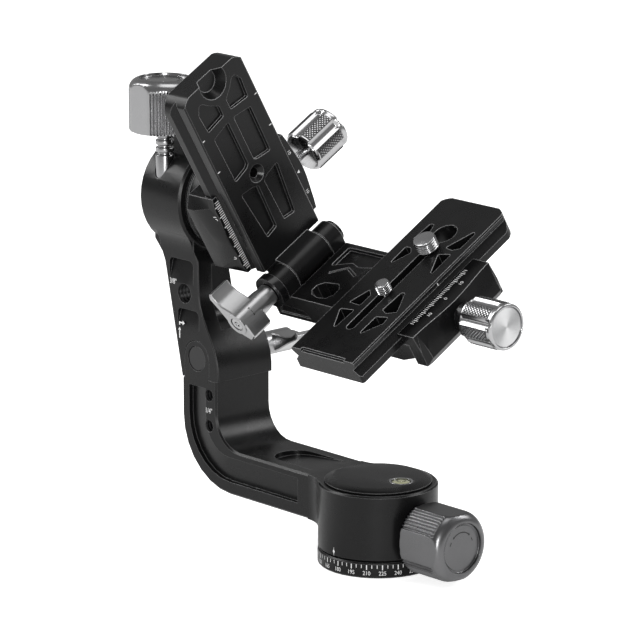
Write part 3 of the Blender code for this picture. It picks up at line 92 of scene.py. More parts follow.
def colour_mix(tree, first, second):
    """Mix node for two colours, with its factor, its colour inputs and its result."""
    made = node(tree, "ShaderNodeMix", data_type="RGBA")
    colours = [s for s in made.inputs if s.type == "RGBA"]
    colours[0].default_value = (*first, 1)
    colours[1].default_value = (*second, 1)
    result = [s for s in made.outputs if s.type == "RGBA"][0]
    return made.inputs["Factor"], colours, result


def finish(name, colour, rough, metallic=1.0, specular=0.5, grain=3500, depth=0.00001, edge_highlight=0.0,
           edge_highlight_colour=(0.3, 0.3, 0.3), soft=0.00022, mottle=0.12):
    """A machined finish: fine grain, patches in its sheen, softened edges, and a painted highlight
    along the edges, lighter where an edge faces up.
    """
    spread = 0.05
    grain_share = 0.6
    edge_start, edge_full = 0.992, 0.94
    shaded_lift, sky_low, sky_high = 0.2, -0.2, 0.75
    made = bpy.data.materials.new(name)
    made.use_nodes = True
    tree = made.node_tree
    shader = tree.nodes["Principled BSDF"]
    shader.inputs["Metallic"].default_value = metallic
    shader.inputs["Specular IOR Level"].default_value = specular
    place = node(tree, "ShaderNodeTexCoord")
    fine = node(tree, "ShaderNodeTexNoise", Scale=grain, Detail=2.0, Roughness=0.6)
    broad = node(tree, "ShaderNodeTexNoise", Scale=90.0, Detail=4.0, Roughness=0.55)
    link(tree, place.outputs["Object"], fine.inputs["Vector"])
    link(tree, place.outputs["Object"], broad.inputs["Vector"])
    blend = node(tree, "ShaderNodeMath", operation="ADD")
    part = node(tree, "ShaderNodeMath", operation="MULTIPLY")
    part.inputs[1].default_value = grain_share
    link(tree, fine.outputs["Fac"], part.inputs[0])
    link(tree, part.outputs[0], blend.inputs[0])
    link(tree, broad.outputs["Fac"], blend.inputs[1])
    sheen = node(tree, "ShaderNodeMapRange")
    sheen.inputs["From Min"].default_value = 0.5
    sheen.inputs["From Max"].default_value = 1.1
    sheen.inputs["To Min"].default_value = rough - spread
    sheen.inputs["To Max"].default_value = rough + spread
    link(tree, blend.outputs[0], sheen.inputs["Value"])
    link(tree, sheen.outputs[0], shader.inputs["Roughness"])
    low = [c * (1 - mottle) for c in colour]
    high = [min(1, c * (1 + mottle)) for c in colour]
    factor, _, colour_out = colour_mix(tree, low, high)
    link(tree, broad.outputs["Fac"], factor)
    bevel = node(tree, "ShaderNodeBevel", samples=6, Radius=soft)
    # Painted highlight: along edges found by the bevel normal the colour turns lighter, most where
    # the edge faces up.
    if edge_highlight > 0:
        geometry = node(tree, "ShaderNodeNewGeometry")
        dot = node(tree, "ShaderNodeVectorMath", operation="DOT_PRODUCT")
        link(tree, bevel.outputs[0], dot.inputs[0])
        link(tree, geometry.outputs["Normal"], dot.inputs[1])
        edge_highlight_mask = node(tree, "ShaderNodeMapRange")
        edge_highlight_mask.inputs["From Min"].default_value = edge_start
        edge_highlight_mask.inputs["From Max"].default_value = edge_full
        edge_highlight_mask.inputs["To Max"].default_value = edge_highlight
        link(tree, dot.outputs["Value"], edge_highlight_mask.inputs["Value"])
        parts = node(tree, "ShaderNodeSeparateXYZ")
        link(tree, bevel.outputs[0], parts.inputs[0])
        lift = node(tree, "ShaderNodeMapRange")
        lift.inputs["From Min"].default_value = sky_low
        lift.inputs["From Max"].default_value = sky_high
        lift.inputs["To Min"].default_value = shaded_lift
        link(tree, parts.outputs["Z"], lift.inputs["Value"])
        caught = node(tree, "ShaderNodeMath", operation="MULTIPLY")
        link(tree, edge_highlight_mask.outputs[0], caught.inputs[0])
        link(tree, lift.outputs[0], caught.inputs[1])
        factor, colours, highlit_edge = colour_mix(tree, colour, edge_highlight_colour)
        link(tree, caught.outputs[0], factor)
        link(tree, colour_out, colours[0])
        colour_out = highlit_edge
    link(tree, colour_out, shader.inputs["Base Color"])
    bump = node(tree, "ShaderNodeBump", Strength=0.35, Distance=depth)
    link(tree, fine.outputs["Fac"], bump.inputs["Height"])
    link(tree, bevel.outputs[0], bump.inputs["Normal"])
    link(tree, bump.outputs[0], shader.inputs["Normal"])
    return made


black = finish("black_anodised", (0.005, 0.005, 0.0052), 0.29, metallic=0.0, specular=0.24,
               edge_highlight=1.0, edge_highlight_colour=(0.50, 0.50, 0.505), mottle=0.2, soft=0.00042)
matt = finish("black_arm", (0.005, 0.005, 0.0052), 0.29, metallic=0.0, specular=0.22,
              edge_highlight=0.45, edge_highlight_colour=(0.38, 0.38, 0.385), mottle=0.2, soft=0.00036)
gloss = finish("black_polished", (0.004, 0.004, 0.0044), 0.2, metallic=0.0, specular=0.40,
               edge_highlight=0.9, edge_highlight_colour=(0.30, 0.30, 0.305), mottle=0.15, depth=0.000004)
grey = finish("titanium_grey", (0.15, 0.15, 0.153), 0.30, edge_highlight=0.7, edge_highlight_colour=(0.6, 0.6, 0.61),
              depth=0.000006)
silver = finish("satin_silver", (0.31, 0.31, 0.314), 0.24, edge_highlight=0.5,
                edge_highlight_colour=(0.85, 0.85, 0.86), depth=0.000006)
blasted = finish("blasted_silver", (0.37, 0.37, 0.373), 0.32, edge_highlight=0.7,
                 edge_highlight_colour=(0.85, 0.85, 0.86), depth=0.00002, grain=2600)
steel = finish("turned_steel", (0.40, 0.40, 0.404), 0.24, edge_highlight=0.3, edge_highlight_colour=(0.9, 0.9, 0.9),
               depth=0.000004)
bright = finish("polished_rim", (0.44, 0.44, 0.445), 0.2, edge_highlight=0.3, edge_highlight_colour=(0.95, 0.95, 0.95),
                depth=0.000003)
# Painted shade: a darker copy of the knob metal for the knurl's flanks and bed, so the valleys look
# shaded.
shaded = finish("knurl_painted_shade", (0.11, 0.11, 0.112), 0.36, depth=0.000004)
bronze = finish("bronze", (0.42, 0.27, 0.11), 0.35, edge_highlight=0.4, edge_highlight_colour=(0.7, 0.5, 0.25))
print_white = finish("white_print", (0.88, 0.88, 0.88), 0.5, metallic=0.0, specular=0.3,
                     mottle=0.1, soft=0.00001)
print_dark = finish("dark_print", (0.02, 0.02, 0.02), 0.5, metallic=0.0, specular=0.3, mottle=0.1,
                    soft=0.00001)
cavity = finish("shaded_thread", (0.03, 0.03, 0.031), 0.4, metallic=0.3, mottle=0.15)


def spun_material():
    """Spun end face: fine concentric rings, a radial anisotropic sheen, and a painted bow-tie
    highlight in its colour.
    """
    made = bpy.data.materials.new("spun_bright")
    made.use_nodes = True
    tree = made.node_tree
    shader = tree.nodes["Principled BSDF"]
    shader.inputs["Metallic"].default_value = 1.0
    shader.inputs["Anisotropic"].default_value = 0.85
    place = node(tree, "ShaderNodeTexCoord")
    rings = node(tree, "ShaderNodeTexWave", wave_type="RINGS", rings_direction="Z", Scale=2600.0,
                 Distortion=0.4, Detail=1.0)
    link(tree, place.outputs["Object"], rings.inputs["Vector"])
    tone = node(tree, "ShaderNodeMapRange")
    tone.inputs["To Min"].default_value = 0.24
    tone.inputs["To Max"].default_value = 0.32
    link(tree, rings.outputs["Fac"], tone.inputs["Value"])
    link(tree, tone.outputs[0], shader.inputs["Roughness"])
    # Painted highlight: the colour is lighter on two opposite wedges round the centre, a bow-tie of
    # reflection fixed on the disc; the turning rings add to it.
    parts = node(tree, "ShaderNodeSeparateXYZ")
    link(tree, place.outputs["Object"], parts.inputs[0])
    around = node(tree, "ShaderNodeMath", operation="ARCTAN2")
    link(tree, parts.outputs["Y"], around.inputs[0])
    link(tree, parts.outputs["X"], around.inputs[1])
    double = node(tree, "ShaderNodeMath", operation="MULTIPLY_ADD")
    double.inputs[1].default_value = 2.0
    double.inputs[2].default_value = 0.9
    link(tree, around.outputs[0], double.inputs[0])
    highlight_wedge = node(tree, "ShaderNodeMath", operation="COSINE")
    link(tree, double.outputs[0], highlight_wedge.inputs[0])
    highlight_fan = node(tree, "ShaderNodeMath", operation="MULTIPLY_ADD")
    highlight_fan.inputs[1].default_value = 0.42
    link(tree, highlight_wedge.outputs[0], highlight_fan.inputs[0])
    link(tree, rings.outputs["Fac"], highlight_fan.inputs[2])
    dark, light = (0.30, 0.302, 0.306), (0.72, 0.722, 0.726)
    factor, _, result = colour_mix(tree, dark, light)
    link(tree, highlight_fan.outputs[0], factor)
    link(tree, result, shader.inputs["Base Color"])
    tangent = node(tree, "ShaderNodeTangent", direction_type="RADIAL", axis="Z")
    link(tree, tangent.outputs[0], shader.inputs["Tangent"])
    bump = node(tree, "ShaderNodeBump", Strength=0.15, Distance=0.000004)
    link(tree, rings.outputs["Fac"], bump.inputs["Height"])
    link(tree, bump.outputs[0], shader.inputs["Normal"])
    return made


def vial_material():
    """Cloudy green liquid under a clear dome."""
    made = bpy.data.materials.new("vial_liquid")
    made.use_nodes = True
    tree = made.node_tree
    shader = tree.nodes["Principled BSDF"]
    shader.inputs["Roughness"].default_value = 0.12
    shader.inputs["Coat Weight"].default_value = 0.8
    shader.inputs["Coat Roughness"].default_value = 0.04
    place = node(tree, "ShaderNodeTexCoord")
    cloud = node(tree, "ShaderNodeTexNoise", Scale=260.0, Detail=3.0)
    link(tree, place.outputs["Object"], cloud.inputs["Vector"])
    dark, light = (0.36, 0.37, 0.20), (0.56, 0.56, 0.36)
    factor, _, result = colour_mix(tree, dark, light)
    link(tree, cloud.outputs["Fac"], factor)
    link(tree, result, shader.inputs["Base Color"])
    return made


spun = spun_material()
vial = vial_material()


# Shapes

def turned(profile, steps=96, closed=False):
    shape = bmesh.new()
    verts = [shape.verts.new((radius, 0, height)) for radius, height in profile]
    pairs = list(zip(verts, verts[1:]))
    if closed:
        pairs.append((verts[-1], verts[0]))
    edges = [shape.edges.new(pair) for pair in pairs]
    bmesh.ops.spin(shape, geom=verts + edges, cent=(0, 0, 0), axis=(0, 0, 1), dvec=(0, 0, 0),
                   angle=math.radians(360), steps=steps, use_merge=True, use_duplicate=False)
    bmesh.ops.remove_doubles(shape, verts=shape.verts, dist=1e-7)
    bmesh.ops.recalc_face_normals(shape, faces=shape.faces)
    return shape


def piece(name, shape, body, material, place=rest, angle=34, stands_for=()):
    mesh = bpy.data.meshes.new(name)
    shape.to_mesh(mesh)
    shape.free()
    mesh.shade_smooth()
    mesh.set_sharp_from_angle(angle=math.radians(angle))
    mesh.materials.append(material)
    item = bpy.data.objects.new(name, mesh)
    scene.collection.objects.link(item)
    item.matrix_world = place
    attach(item, body)
    if stands_for:
        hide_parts(*stands_for)
    return item


def fillet(profile, width, steps=3):
    """Round the corners of a turned profile, except its ends, with small arcs."""
    points = [Vector(p) for p in profile]
    done = [tuple(points[0])]
    for before, here, after in zip(points, points[1:], points[2:]):
        back, on = before - here, after - here
        reach = min(width, back.length * 0.45, on.length * 0.45)
        start = here + back.normalized() * reach
        end = here + on.normalized() * reach
        for step in range(steps + 1):
            t = step / steps
            point = start * (1 - t) ** 2 + here * 2 * t * (1 - t) + end * t ** 2
            done.append(tuple(point))
    done.append(tuple(points[-1]))
    return done


# Printed marks

def glyph_shapes(text, height):
    """Outline faces of a short text, centred, as (points, faces)."""
    curve = bpy.data.curves.new("glyphs", "FONT")
    curve.body = text
    curve.size = 1.0
    item = bpy.data.objects.new("glyphs", curve)
    scene.collection.objects.link(item)
    bpy.context.view_layer.update()
    graph = bpy.context.evaluated_depsgraph_get()
    mesh = bpy.data.meshes.new_from_object(item.evaluated_get(graph))
    points = [(v.co.x, v.co.y) for v in mesh.vertices]
    faces = [tuple(p.vertices) for p in mesh.polygons]
    bpy.data.objects.remove(item)
    bpy.data.curves.remove(curve)
    bpy.data.meshes.remove(mesh)
    low = [min(p[k] for p in points) for k in (0, 1)]
    high = [max(p[k] for p in points) for k in (0, 1)]
    scale = height / (high[1] - low[1])
    middle = [(a + b) / 2 for a, b in zip(low, high)]
    return [((x - middle[0]) * scale, (y - middle[1]) * scale) for x, y in points], faces


def add_flat(shape, points, faces, put):
    verts = [shape.verts.new(put(x, y)) for x, y in points]
    for face in faces:
        try:
            shape.faces.new([verts[i] for i in face])
        except ValueError:
            pass


def add_text(shape, text, height, put, at=(0, 0), turn=0.0, squeeze=1.0):
    points, faces = glyph_shapes(text, height)
    c, s = math.cos(turn), math.sin(turn)
    moved = [(at[0] + c * x * squeeze - s * y, at[1] + s * x * squeeze + c * y)
             for x, y in points]
    add_flat(shape, moved, faces, put)


def add_bar(shape, put, x0, y0, x1, y1):
    add_flat(shape, [(x0, y0), (x1, y0), (x1, y1), (x0, y1)], [(0, 1, 2, 3)], put)


def add_fan(shape, put, points):
    add_flat(shape, points, [tuple(range(len(points)))], put)


def on_cylinder(radius, start, proud=0.00003):
    """Map (arc length, height) to a cylinder about Z, from a starting angle."""
    def put(x, y):
        angle = start + x / radius
        return ((radius + proud) * math.cos(angle), (radius + proud) * math.sin(angle), y)
    return put


def on_plane(origin, right, up, proud=0.00003):
    origin, right, up = Vector(origin), Vector(right), Vector(up)
    out = right.cross(up).normalized() * proud

    def put(x, y):
        return origin + right * x + up * y + out
    return put


def base_marks():
    """Degree scale round the base and the index line above it."""
    radius, zero = 0.0245, -264
    tick_step, number_step = 5, 15
    shape = bmesh.new()
    for degrees in range(0, 360, tick_step):
        long = degrees % number_step == 0
        put = on_cylinder(radius, math.radians(degrees + zero))
        half = 0.00020 if long else 0.00013
        add_bar(shape, put, -half, 0.0036 if long else 0.0042, half, 0.0056)
    for degrees in range(0, 360, number_step):
        put = on_cylinder(radius, math.radians(degrees + zero))
        add_text(shape, str(degrees), 0.00165, put, at=(0, 0.0022), squeeze=0.9)
    piece("base_scale", shape, "base", print_white)
    housing_radius, index_angle = 0.0243, -90
    shape = bmesh.new()
    put = on_cylinder(housing_radius, math.radians(index_angle))
    add_bar(shape, put, -0.0001, 0.0074, 0.0001, 0.0106)
    add_fan(shape, put, [(-0.00055, 0.0090), (0, 0.0080), (0.00055, 0.0090), (0, 0.0100)])
    piece("pan_index", shape, "pan_arm", print_white)


def clamp_marks():
    """Millimetre scales on the jaws, index lines on the plate's edges and rail."""
    first = bmesh.new()
    put = on_plane((-0.0698, 0, 0), (0, 1, 0), (0, 0, 1), 0.00008)
    flank = on_plane((-0.0701, -0.0211, 0), (0, 0, -1), (0.98, 0.21, 0), 0.00016)
    second = bmesh.new()
    onto = on_plane((0, 0, -0.0282), (1, 0, 0), (0, 1, 0))
    for step in range(-17, 18):
        long = step % 5 == 0
        half = 0.00021 if long else 0.00016
        n = step * 0.001
        add_bar(first, put, -0.0206 if long else -0.0198, n - half, -0.0176, n + half)
        add_bar(second, onto, 0.0189, n - half, 0.0213 if long else 0.0207, n + half)
    for n, text in ((0.010, "10"), (0, "0"), (-0.010, "10")):
        add_text(first, text, 0.0022, flank, at=(-n, -0.0017))
        add_text(second, text, 0.00165, onto, at=(0.0236, n), turn=math.radians(90))
    piece("first_scale", first, "cradle", print_white, cradle)
    piece("second_scale", second, "jaw_b", print_white, cradle)
    index = bmesh.new()
    for n in (0.0102, -0.0102):
        add_text(index, "10", 0.0015, put, at=(0.0232, n), turn=math.radians(-90))
    add_fan(index, put, [(0.0223, 0), (0.0238, -0.0008), (0.0238, 0.0008)])
    piece("first_jaw_index", index, "jaw_a", print_white, cradle)
    lines = bmesh.new()
    put = on_plane((-0.0623, 0, 0), (0, 1, 0), (0, 0, 1))
    for n in (0.0477, 0.0318):
        for side in (-1, 1):
            low, high = sorted((side * 0.0154, side * 0.0167))
            add_bar(lines, put, low, n - 0.00018, high, n + 0.00018)
    piece("plate_index_lines", lines, "first_leaf", print_white, cradle)
    dot = bmesh.new()
    put = on_plane((0.0182, 0, 0), (0, 1, 0), (0, 0, 1))
    add_bar(dot, put, 0.0029, -0.0252, 0.0033, -0.0240)
    piece("rail_index_line", dot, "camera_rail", print_white, cradle)


def arm_marks():
    """Thread sizes beside the tapped holes and the bent arrow by the arm's joint."""
    upper = bmesh.new()
    put = on_plane((0, -0.015, 0), (1, 0, 0), (0, 0, 1))
    add_text(upper, '3/8"', 0.0023, put, at=(-0.1086, 0.0999), squeeze=0.85)
    x, z, half = -0.1047, 0.0762, 0.00030
    add_bar(upper, put, x - half, z, x + half, z + 0.0036)
    add_fan(upper, put, [(x - 0.0009, z + 0.0034), (x + 0.0009, z + 0.0034), (x, z + 0.0047)])
    add_bar(upper, put, x - half, z + 0.0056, x + half, z + 0.0070)
    add_bar(upper, put, x + half, z + 0.0064, x + 0.0020, z + 0.0070)
    add_fan(upper, put,
            [(x + 0.0019, z + 0.0057), (x + 0.0033, z + 0.0067), (x + 0.0019, z + 0.0077)])
    piece("upper_arm_marks", upper, "upper", print_white)
    lower = bmesh.new()
    add_text(lower, '1/4"', 0.0023, put, at=(-0.0864, 0.0484), squeeze=0.85)
    piece("lower_arm_marks", lower, "pan_arm", print_white)


def lever_marks():
    """Arc with an arrow at each end, round the hinge lever's hub."""
    shape = bmesh.new()
    radius, at = 0.00498, -0.0358

    def put(angle, across):
        return (-0.0587 + radius * math.cos(angle), at + across, -0.026 + radius * math.sin(angle))

    low, high = math.radians(14), math.radians(52)
    for step in range(8):
        a = low + (high - low) * step / 8
        b = low + (high - low) * (step + 1) / 8
        add_bar(shape, put, a, -0.00013, b, 0.00013)
    for angle, way in ((low, -1), (high, 1)):
        add_fan(shape, put, [(angle, -0.0006), (angle, 0.0006), (angle + way * 0.16, 0)])
    piece("hinge_lever_marks", shape, "hinge_clamp", print_dark, cradle)


base_marks()
clamp_marks()
arm_marks()
lever_marks()


# Lock knobs

def lock_knob_skin():
    """Rounded drum, ribbed on four arcs and planed flat between them, with a soft front."""
    radius, length = 0.0147, 0.0222
    flat_reach = 0.01345
    groove_depth = 0.00085
    front, rear = 0.0046, 0.0012
    rib_arc = math.radians(40)
    ribs = 7
    sector = math.pi / 2
    flat_half = (sector - rib_arc) / 2
    angles = []
    for index in range(4):
        middle = index * sector
        angles += [middle + flat_half * (-1 + 2 * s / 14) for s in range(14)]
        angles += [middle + flat_half + rib_arc * s / (ribs * 8) for s in range(ribs * 8)]
    heights = [0, 0.0003, 0.0008, rear, rear + 0.0006]
    start = length - front
    heights += [rear + 0.0006 + (start - 0.0012 - rear) * s / 6 for s in range(1, 7)]
    heights += [start + front * math.sin(math.radians(90) * s / 14) for s in range(15)]
    rows = []
    for height in sorted(set(round(h, 7) for h in heights)):
        row = []
        for angle in angles:
            local = math.remainder(angle, sector)
            own = radius
            if height < rear:
                own -= rear - math.sqrt(max(0, rear * rear - (rear - height) ** 2))
            if height > start:
                rise = min(1, (height - start) / front)
                own -= front * (1 - math.sqrt(max(0, 1 - rise * rise)))
            from_rib = sector / 2 - abs(local)
            if from_rib < rib_arc / 2:
                phase = ribs * (from_rib / rib_arc + 0.5)
                groove = (0.5 - 0.5 * math.cos(2 * math.pi * phase)) ** 0.7
                fade = min(1, max(0, (start + 0.0010 - height) / 0.0016))
                own -= groove_depth * groove * fade
            own = min(own, flat_reach / math.cos(local))
            row.append((own * math.cos(angle), own * math.sin(angle), height))
        rows.append(row)
    return rows


def lock_knob(name, body, material, place, slot):
    """Skin of a lock knob with its recessed face and the arc arrow printed on it."""
    rows = lock_knob_skin()
    last = rows[-1]
    shape = bmesh.new()
    made = [[shape.verts.new(point) for point in row] for row in rows]
    count = len(last)
    rims = ((0.0103, 0.0222), (0.01018, 0.02208), (0.01012, 0.0215), (0.0100, 0.02112),
            (0.0097, 0.02104))
    for radius, height in rims:
        made.append([shape.verts.new((radius * p[0] / math.hypot(p[0], p[1]),
                                      radius * p[1] / math.hypot(p[0], p[1]), height))
                     for p in last])
    for row, following in zip(made, made[1:]):
        for index in range(count):
            other = (index + 1) % count
            shape.faces.new((row[index], row[other], following[other], following[index]))
    shape.faces.new(made[-1])
    shape.faces.new(made[0])
    bmesh.ops.recalc_face_normals(shape, faces=shape.faces)
    piece(name + "_body", shape, body, material, place, angle=26, stands_for=[slot])
    face_radius, face_low, face_top = 0.0094, 0.0205, 0.0213
    profile = [(0, face_low), (face_radius, face_low), (face_radius, face_top), (0, face_top)]
    disc = turned(fillet(profile, 0.0002), 96)
    piece(name + "_face", disc, body, material, place, stands_for=[slot + "_disc"])
    marks = bmesh.new()
    put = on_plane((0, 0, face_top), (1, 0, 0), (0, 1, 0))
    ring, half = 0.0064, 0.00022
    thin, reach = 0.0002, 0.12
    arc_start, arc_end, steps = 52, 128, 16
    head, head_turn = 0.0006, 9
    for step in range(steps):
        a = math.radians(arc_start + (arc_end - arc_start) * step / steps)
        b = math.radians(arc_start + (arc_end - arc_start) * (step + 1) / steps)
        corners = ((ring - half, a), (ring + half, a), (ring + half, b), (ring - half, b))
        points = [(r * math.cos(t), r * math.sin(t)) for r, t in corners]
        add_flat(marks, points, [(0, 1, 2, 3)], put)
    for angle, way in ((arc_start, -1), (arc_end, 1)):
        a = math.radians(angle)
        tip = math.radians(angle + way * head_turn)
        add_fan(marks, put, [((ring - head) * math.cos(a), (ring - head) * math.sin(a)),
                             ((ring + head) * math.cos(a), (ring + head) * math.sin(a)),
                             (ring * math.cos(tip), ring * math.sin(tip))])
    for angle in (24, 156):
        a = math.radians(angle)
        add_fan(marks, put, [((ring + side * thin) * math.cos(a + turn * reach),
                              (ring + side * thin) * math.sin(a + turn * reach))
                             for side, turn in ((-1, 1), (-1, -1), (1, -1), (1, 1))])
    piece(name + "_marks", marks, body, print_dark, place)


quarter_turn = Matrix.Rotation(math.radians(90), 4, "Z")
lock_knob("pan_lock", "pan_lock", grey, pan_knob @ quarter_turn, "pan_knob")
lock_knob("tilt_lock", "tilt_lock", silver, tilt_knob, "tilt_knob")


def tilt_stem():
    """Stem with three rounded grooves, as it comes out of the barrel below the knob."""
    radius, root, low = 0.0038, 0.0029, -0.0311
    shoulder = radius - 0.0002
    profile = [(0, low), (shoulder, low), (radius, low + 0.0002)]
    for place in (-0.0094, -0.0063, -0.0032):
        profile += [(radius, place - 0.0008), (shoulder, place - 0.0006), (root, place - 0.0003),
                    (root, place + 0.0003), (shoulder, place + 0.0006), (radius, place + 0.0008)]
    profile += [(radius, -0.0002), (0.0044, 0), (0, 0)]
    stem = turned(fillet(profile, 0.00025, 2), 64)
    piece("tilt_lock_stem", stem, "tilt_lock", silver, tilt_knob,
          stands_for=["tilt_knob_stem"])


tilt_stem()


# Clamp knobs

sector = math.pi / 3
land = sector * 0.52
flute = 0.0013


def grip_rows(radius, length):
    """Six plain lands, which carry the knurling, with a concave flute between each pair."""
    angles = []
    for index in range(6):
        start = index * sector - land / 2
        angles += [(start + land * s / 8, 0.0) for s in range(8)]
        angles += [(start + land + (sector - land) * s / 12, math.sin(math.pi * s / 12) ** 0.8)
                   for s in range(12)]
    rim = 0.0013
    heights = [(0, 0.0010, 0), (0.0004, 0.0004, 0.4), (0.0009, 0, 1), (0.0012, 0, 1)]
    heights += [(0.0012 + (length - rim - 0.0020) * s / 6, 0, 1) for s in range(1, 6)]
    heights += [(length - rim - 0.0014, 0, 1), (length - rim - 0.0004, -0.00005, 0.25),
                (length - rim, -0.00012, 0), (length - 0.0006, -0.00012, 0),
                (length - 0.0002, 0.0001, 0), (length, 0.0005, 0)]
    rows = []
    for height, inset, depth in heights:
        reach = [(radius - inset - flute * hollow * depth, angle) for angle, hollow in angles]
        rows.append([(own * math.cos(angle), own * math.sin(angle), height)
                     for own, angle in reach])
    return rows


def clamp_knob(name, body, place, slot):
    """Fluted grip with diamond knurling on its lands and a spun disc in front."""
    core, length = 0.00935, 0.0185
    rows = grip_rows(core, length)
    count = len(rows[0])
    shape = bmesh.new()
    made = [[shape.verts.new(point) for point in row] for row in rows]
    for radius, height in ((0.0084, length), (0.0083, length - 0.0002), (0.0082, length - 0.0009),
                           (0.0080, length - 0.0009)):
        ring = []
        for index in range(count):
            a = math.atan2(rows[0][index][1], rows[0][index][0])
            ring.append(shape.verts.new((radius * math.cos(a), radius * math.sin(a), height)))
        made.append(ring)
    for row, following in zip(made, made[1:]):
        for index in range(count):
            other = (index + 1) % count
            shape.faces.new((row[index], row[other], following[other], following[index]))
    shape.faces.new(made[-1])
    shape.faces.new(made[0])
    bmesh.ops.recalc_face_normals(shape, faces=shape.faces)
    piece(name + "_grip", shape, body, bright, place, stands_for=[slot])
    flanks = bmesh.new()
    tops = bmesh.new()
    across, along = 4, 9
    width = land / across
    start, end = 0.0014, length - 0.0026
    tall = (end - start) / along
    top, keep = 0.00978, 0.42
    sunk, bed_radius = core - 0.0001, core + 0.00002
    for index in range(6):
        for row in range(2 * along - 1):
            offset = row % 2
            for column in range(across - offset):
                a = index * sector - land / 2 + width * (column + 0.5 + offset / 2)
                z = start + tall * (row + 1) / 2
                corners = [(a - width / 2, z), (a, z - tall / 2),
                           (a + width / 2, z), (a, z + tall / 2)]
                low = [(sunk * math.cos(t), sunk * math.sin(t), h) for t, h in corners]
                shrunk = [(a + keep * (t - a), z + keep * (h - z)) for t, h in corners]
                high = [(top * math.cos(t), top * math.sin(t), h) for t, h in shrunk]
                base = [flanks.verts.new(point) for point in low]
                peak = [flanks.verts.new(point) for point in high]
                for k in range(4):
                    m = (k + 1) % 4
                    flanks.faces.new((base[k], base[m], peak[m], peak[k]))
                tops.faces.new([tops.verts.new(point) for point in high])
    # Painted shade: the diamonds' flanks and the bed between them take the darker copy of the metal;
    # the tops keep the grip's.
    piece(name + "_knurl_flanks", flanks, body, shaded, place, angle=10)
    piece(name + "_knurl_tops", tops, body, bright, place, angle=10)
    bed = bmesh.new()
    for index in range(6):
        first = index * sector - land / 2
        for step in range(8):
            a = first + land * (0.02 + 0.96 * step / 8)
            b = first + land * (0.02 + 0.96 * (step + 1) / 8)
            points = [(bed_radius * math.cos(t), bed_radius * math.sin(t), z)
                      for t, z in ((a, start), (b, start), (b, end), (a, end))]
            bed.faces.new([bed.verts.new(point) for point in points])
    piece(name + "_knurl_bed", bed, body, shaded, place)
    disc_radius, disc_low, disc_top = 0.0081, length - 0.0012, length - 0.00045
    profile = [(0, disc_low), (disc_radius, disc_low), (disc_radius, length - 0.0006),
               (0.0078, disc_top), (0, disc_top)]
    disc = turned(fillet(profile, 0.0001), 96)
    piece(name + "_disc", disc, body, spun, place, stands_for=[slot + "_disc"])


clamp_knob("first_knob", "knob_a", knob_a, "clamp_a_knob")
part_turn = Matrix.Rotation(math.radians(18), 4, "Z")
clamp_knob("second_knob", "knob_b", knob_b @ part_turn, "clamp_b_knob")


# Threads

def thread_rings(radius, low, high, pitch, depth):
    """Side of a threaded rod or hole, as a turned line of crests and roots."""
    count = int((high - low) / pitch)
    step = (high - low) / count
    line = [(radius - depth, low)]
    for index in range(count):
        z = low + step * index
        line += [(radius - depth * 0.9, z + step * 0.08), (radius - depth * 0.15, z + step * 0.40),
                 (radius, z + step * 0.46), (radius, z + step * 0.60),
                 (radius - depth * 0.15, z + step * 0.66), (radius - depth * 0.9, z + step * 0.96)]
    return line + [(radius - depth, high)]


def camera_screw(name, body, radius, show, place, pitch, slot):
    """Threaded camera screw standing in the rail's slot, with its slotted head below."""
    at = cradle @ Matrix.Translation((0, place, 0))
    start, seat = -0.0228 + 0.0003, -0.0331 + 0.0046 - 0.0003
    depth = 0.00062
    under, head_radius, neck = seat - 0.0030, 0.0050, 0.0018
    profile = [(0, under), (head_radius, under), (head_radius, seat), (neck, seat), (neck, start)]
    profile += thread_rings(radius, start + 0.0002, start + show - 0.0006, pitch, depth)
    profile += [(radius - 0.0002, start + show - 0.0005), (radius - 0.0003, start + show - 0.0001),
                (radius - 0.0006, start + show), (0, start + show)]
    shape = turned(profile, 64)
    piece(name + "_turned", shape, body, bright, at, angle=24, stands_for=[slot])
    # Painted shade: the head's slot is a flat dark bar, not a cut groove.
    head = bmesh.new()
    put = on_plane((0, 0, under), (1, 0, 0), (0, -1, 0))
    add_bar(head, put, -0.0046, -0.0006, 0.0046, 0.0006)
    piece(name + "_slot_shade", head, body, print_dark, at)


camera_screw("quarter", "small_screw", 0.003175, 0.0045, -0.0090, 0.0009, "quarter_screw")
camera_screw("three_eighth", "large_screw", 0.00476, 0.0055, 0.0185, 0.0011, "three_eighth_screw")


def tapped(name, body, radius, depth, pitch, place, material):
    """Threaded wall of a hole, cut outwards from its crests."""
    crest = radius - 0.0002
    line = [(crest + (crest - r) * 0.5, z)
            for r, z in thread_rings(crest, 0.0003, depth, pitch, 0.0006)]
    piece(name, turned(line, 48), body, material, place, angle=24)


for index, height in enumerate((0.0418, 0.0549)):
    tapped(f"quarter_tap_{index + 1}", "pan_arm", 0.0026, 0.0078, 0.00127,
           Matrix.Translation((-0.0864, -0.015, height)) @ to_y, cavity)
tapped("large_tap", "upper", 0.0042, 0.0074, 0.0015875,
       Matrix.Translation((-0.1015, -0.015, 0.0957)) @ to_y, cavity)
tapped("socket_tap", "base", 0.00476, 0.0118, 0.0015875, rest, steel)


# Bubble level

def bubble():
    """Domed vial with its ring and bubble."""
    top, low = 0.0358, 0.0347
    place = Matrix.Translation((0.0118, 0.0015, 0))
    profile = [(0, low), (0.0037, low), (0.0038, top - 0.0008), (0.0036, top - 0.0004),
               (0.0028, top - 0.0001), (0.0016, top + 0.0001), (0, top + 0.00018)]
    piece("level_dome", turned(profile, 64), "pan_arm", vial, place,
          stands_for=["level_vial"])
    ring = turned([(0.00165, top + 0.00012), (0.00185, top + 0.00012), (0.00185, top + 0.0002),
                   (0.00165, top + 0.0002)], 48, closed=True)
    piece("level_ring", ring, "pan_arm", print_dark, place)
    drop = turned([(0, top - 0.0001), (0.0013, top - 0.0001), (0.0012, top + 0.00022),
                   (0.0007, top + 0.0003), (0, top + 0.00033)], 32)
    piece("level_bubble", drop, "pan_arm", vial, place)


bubble()


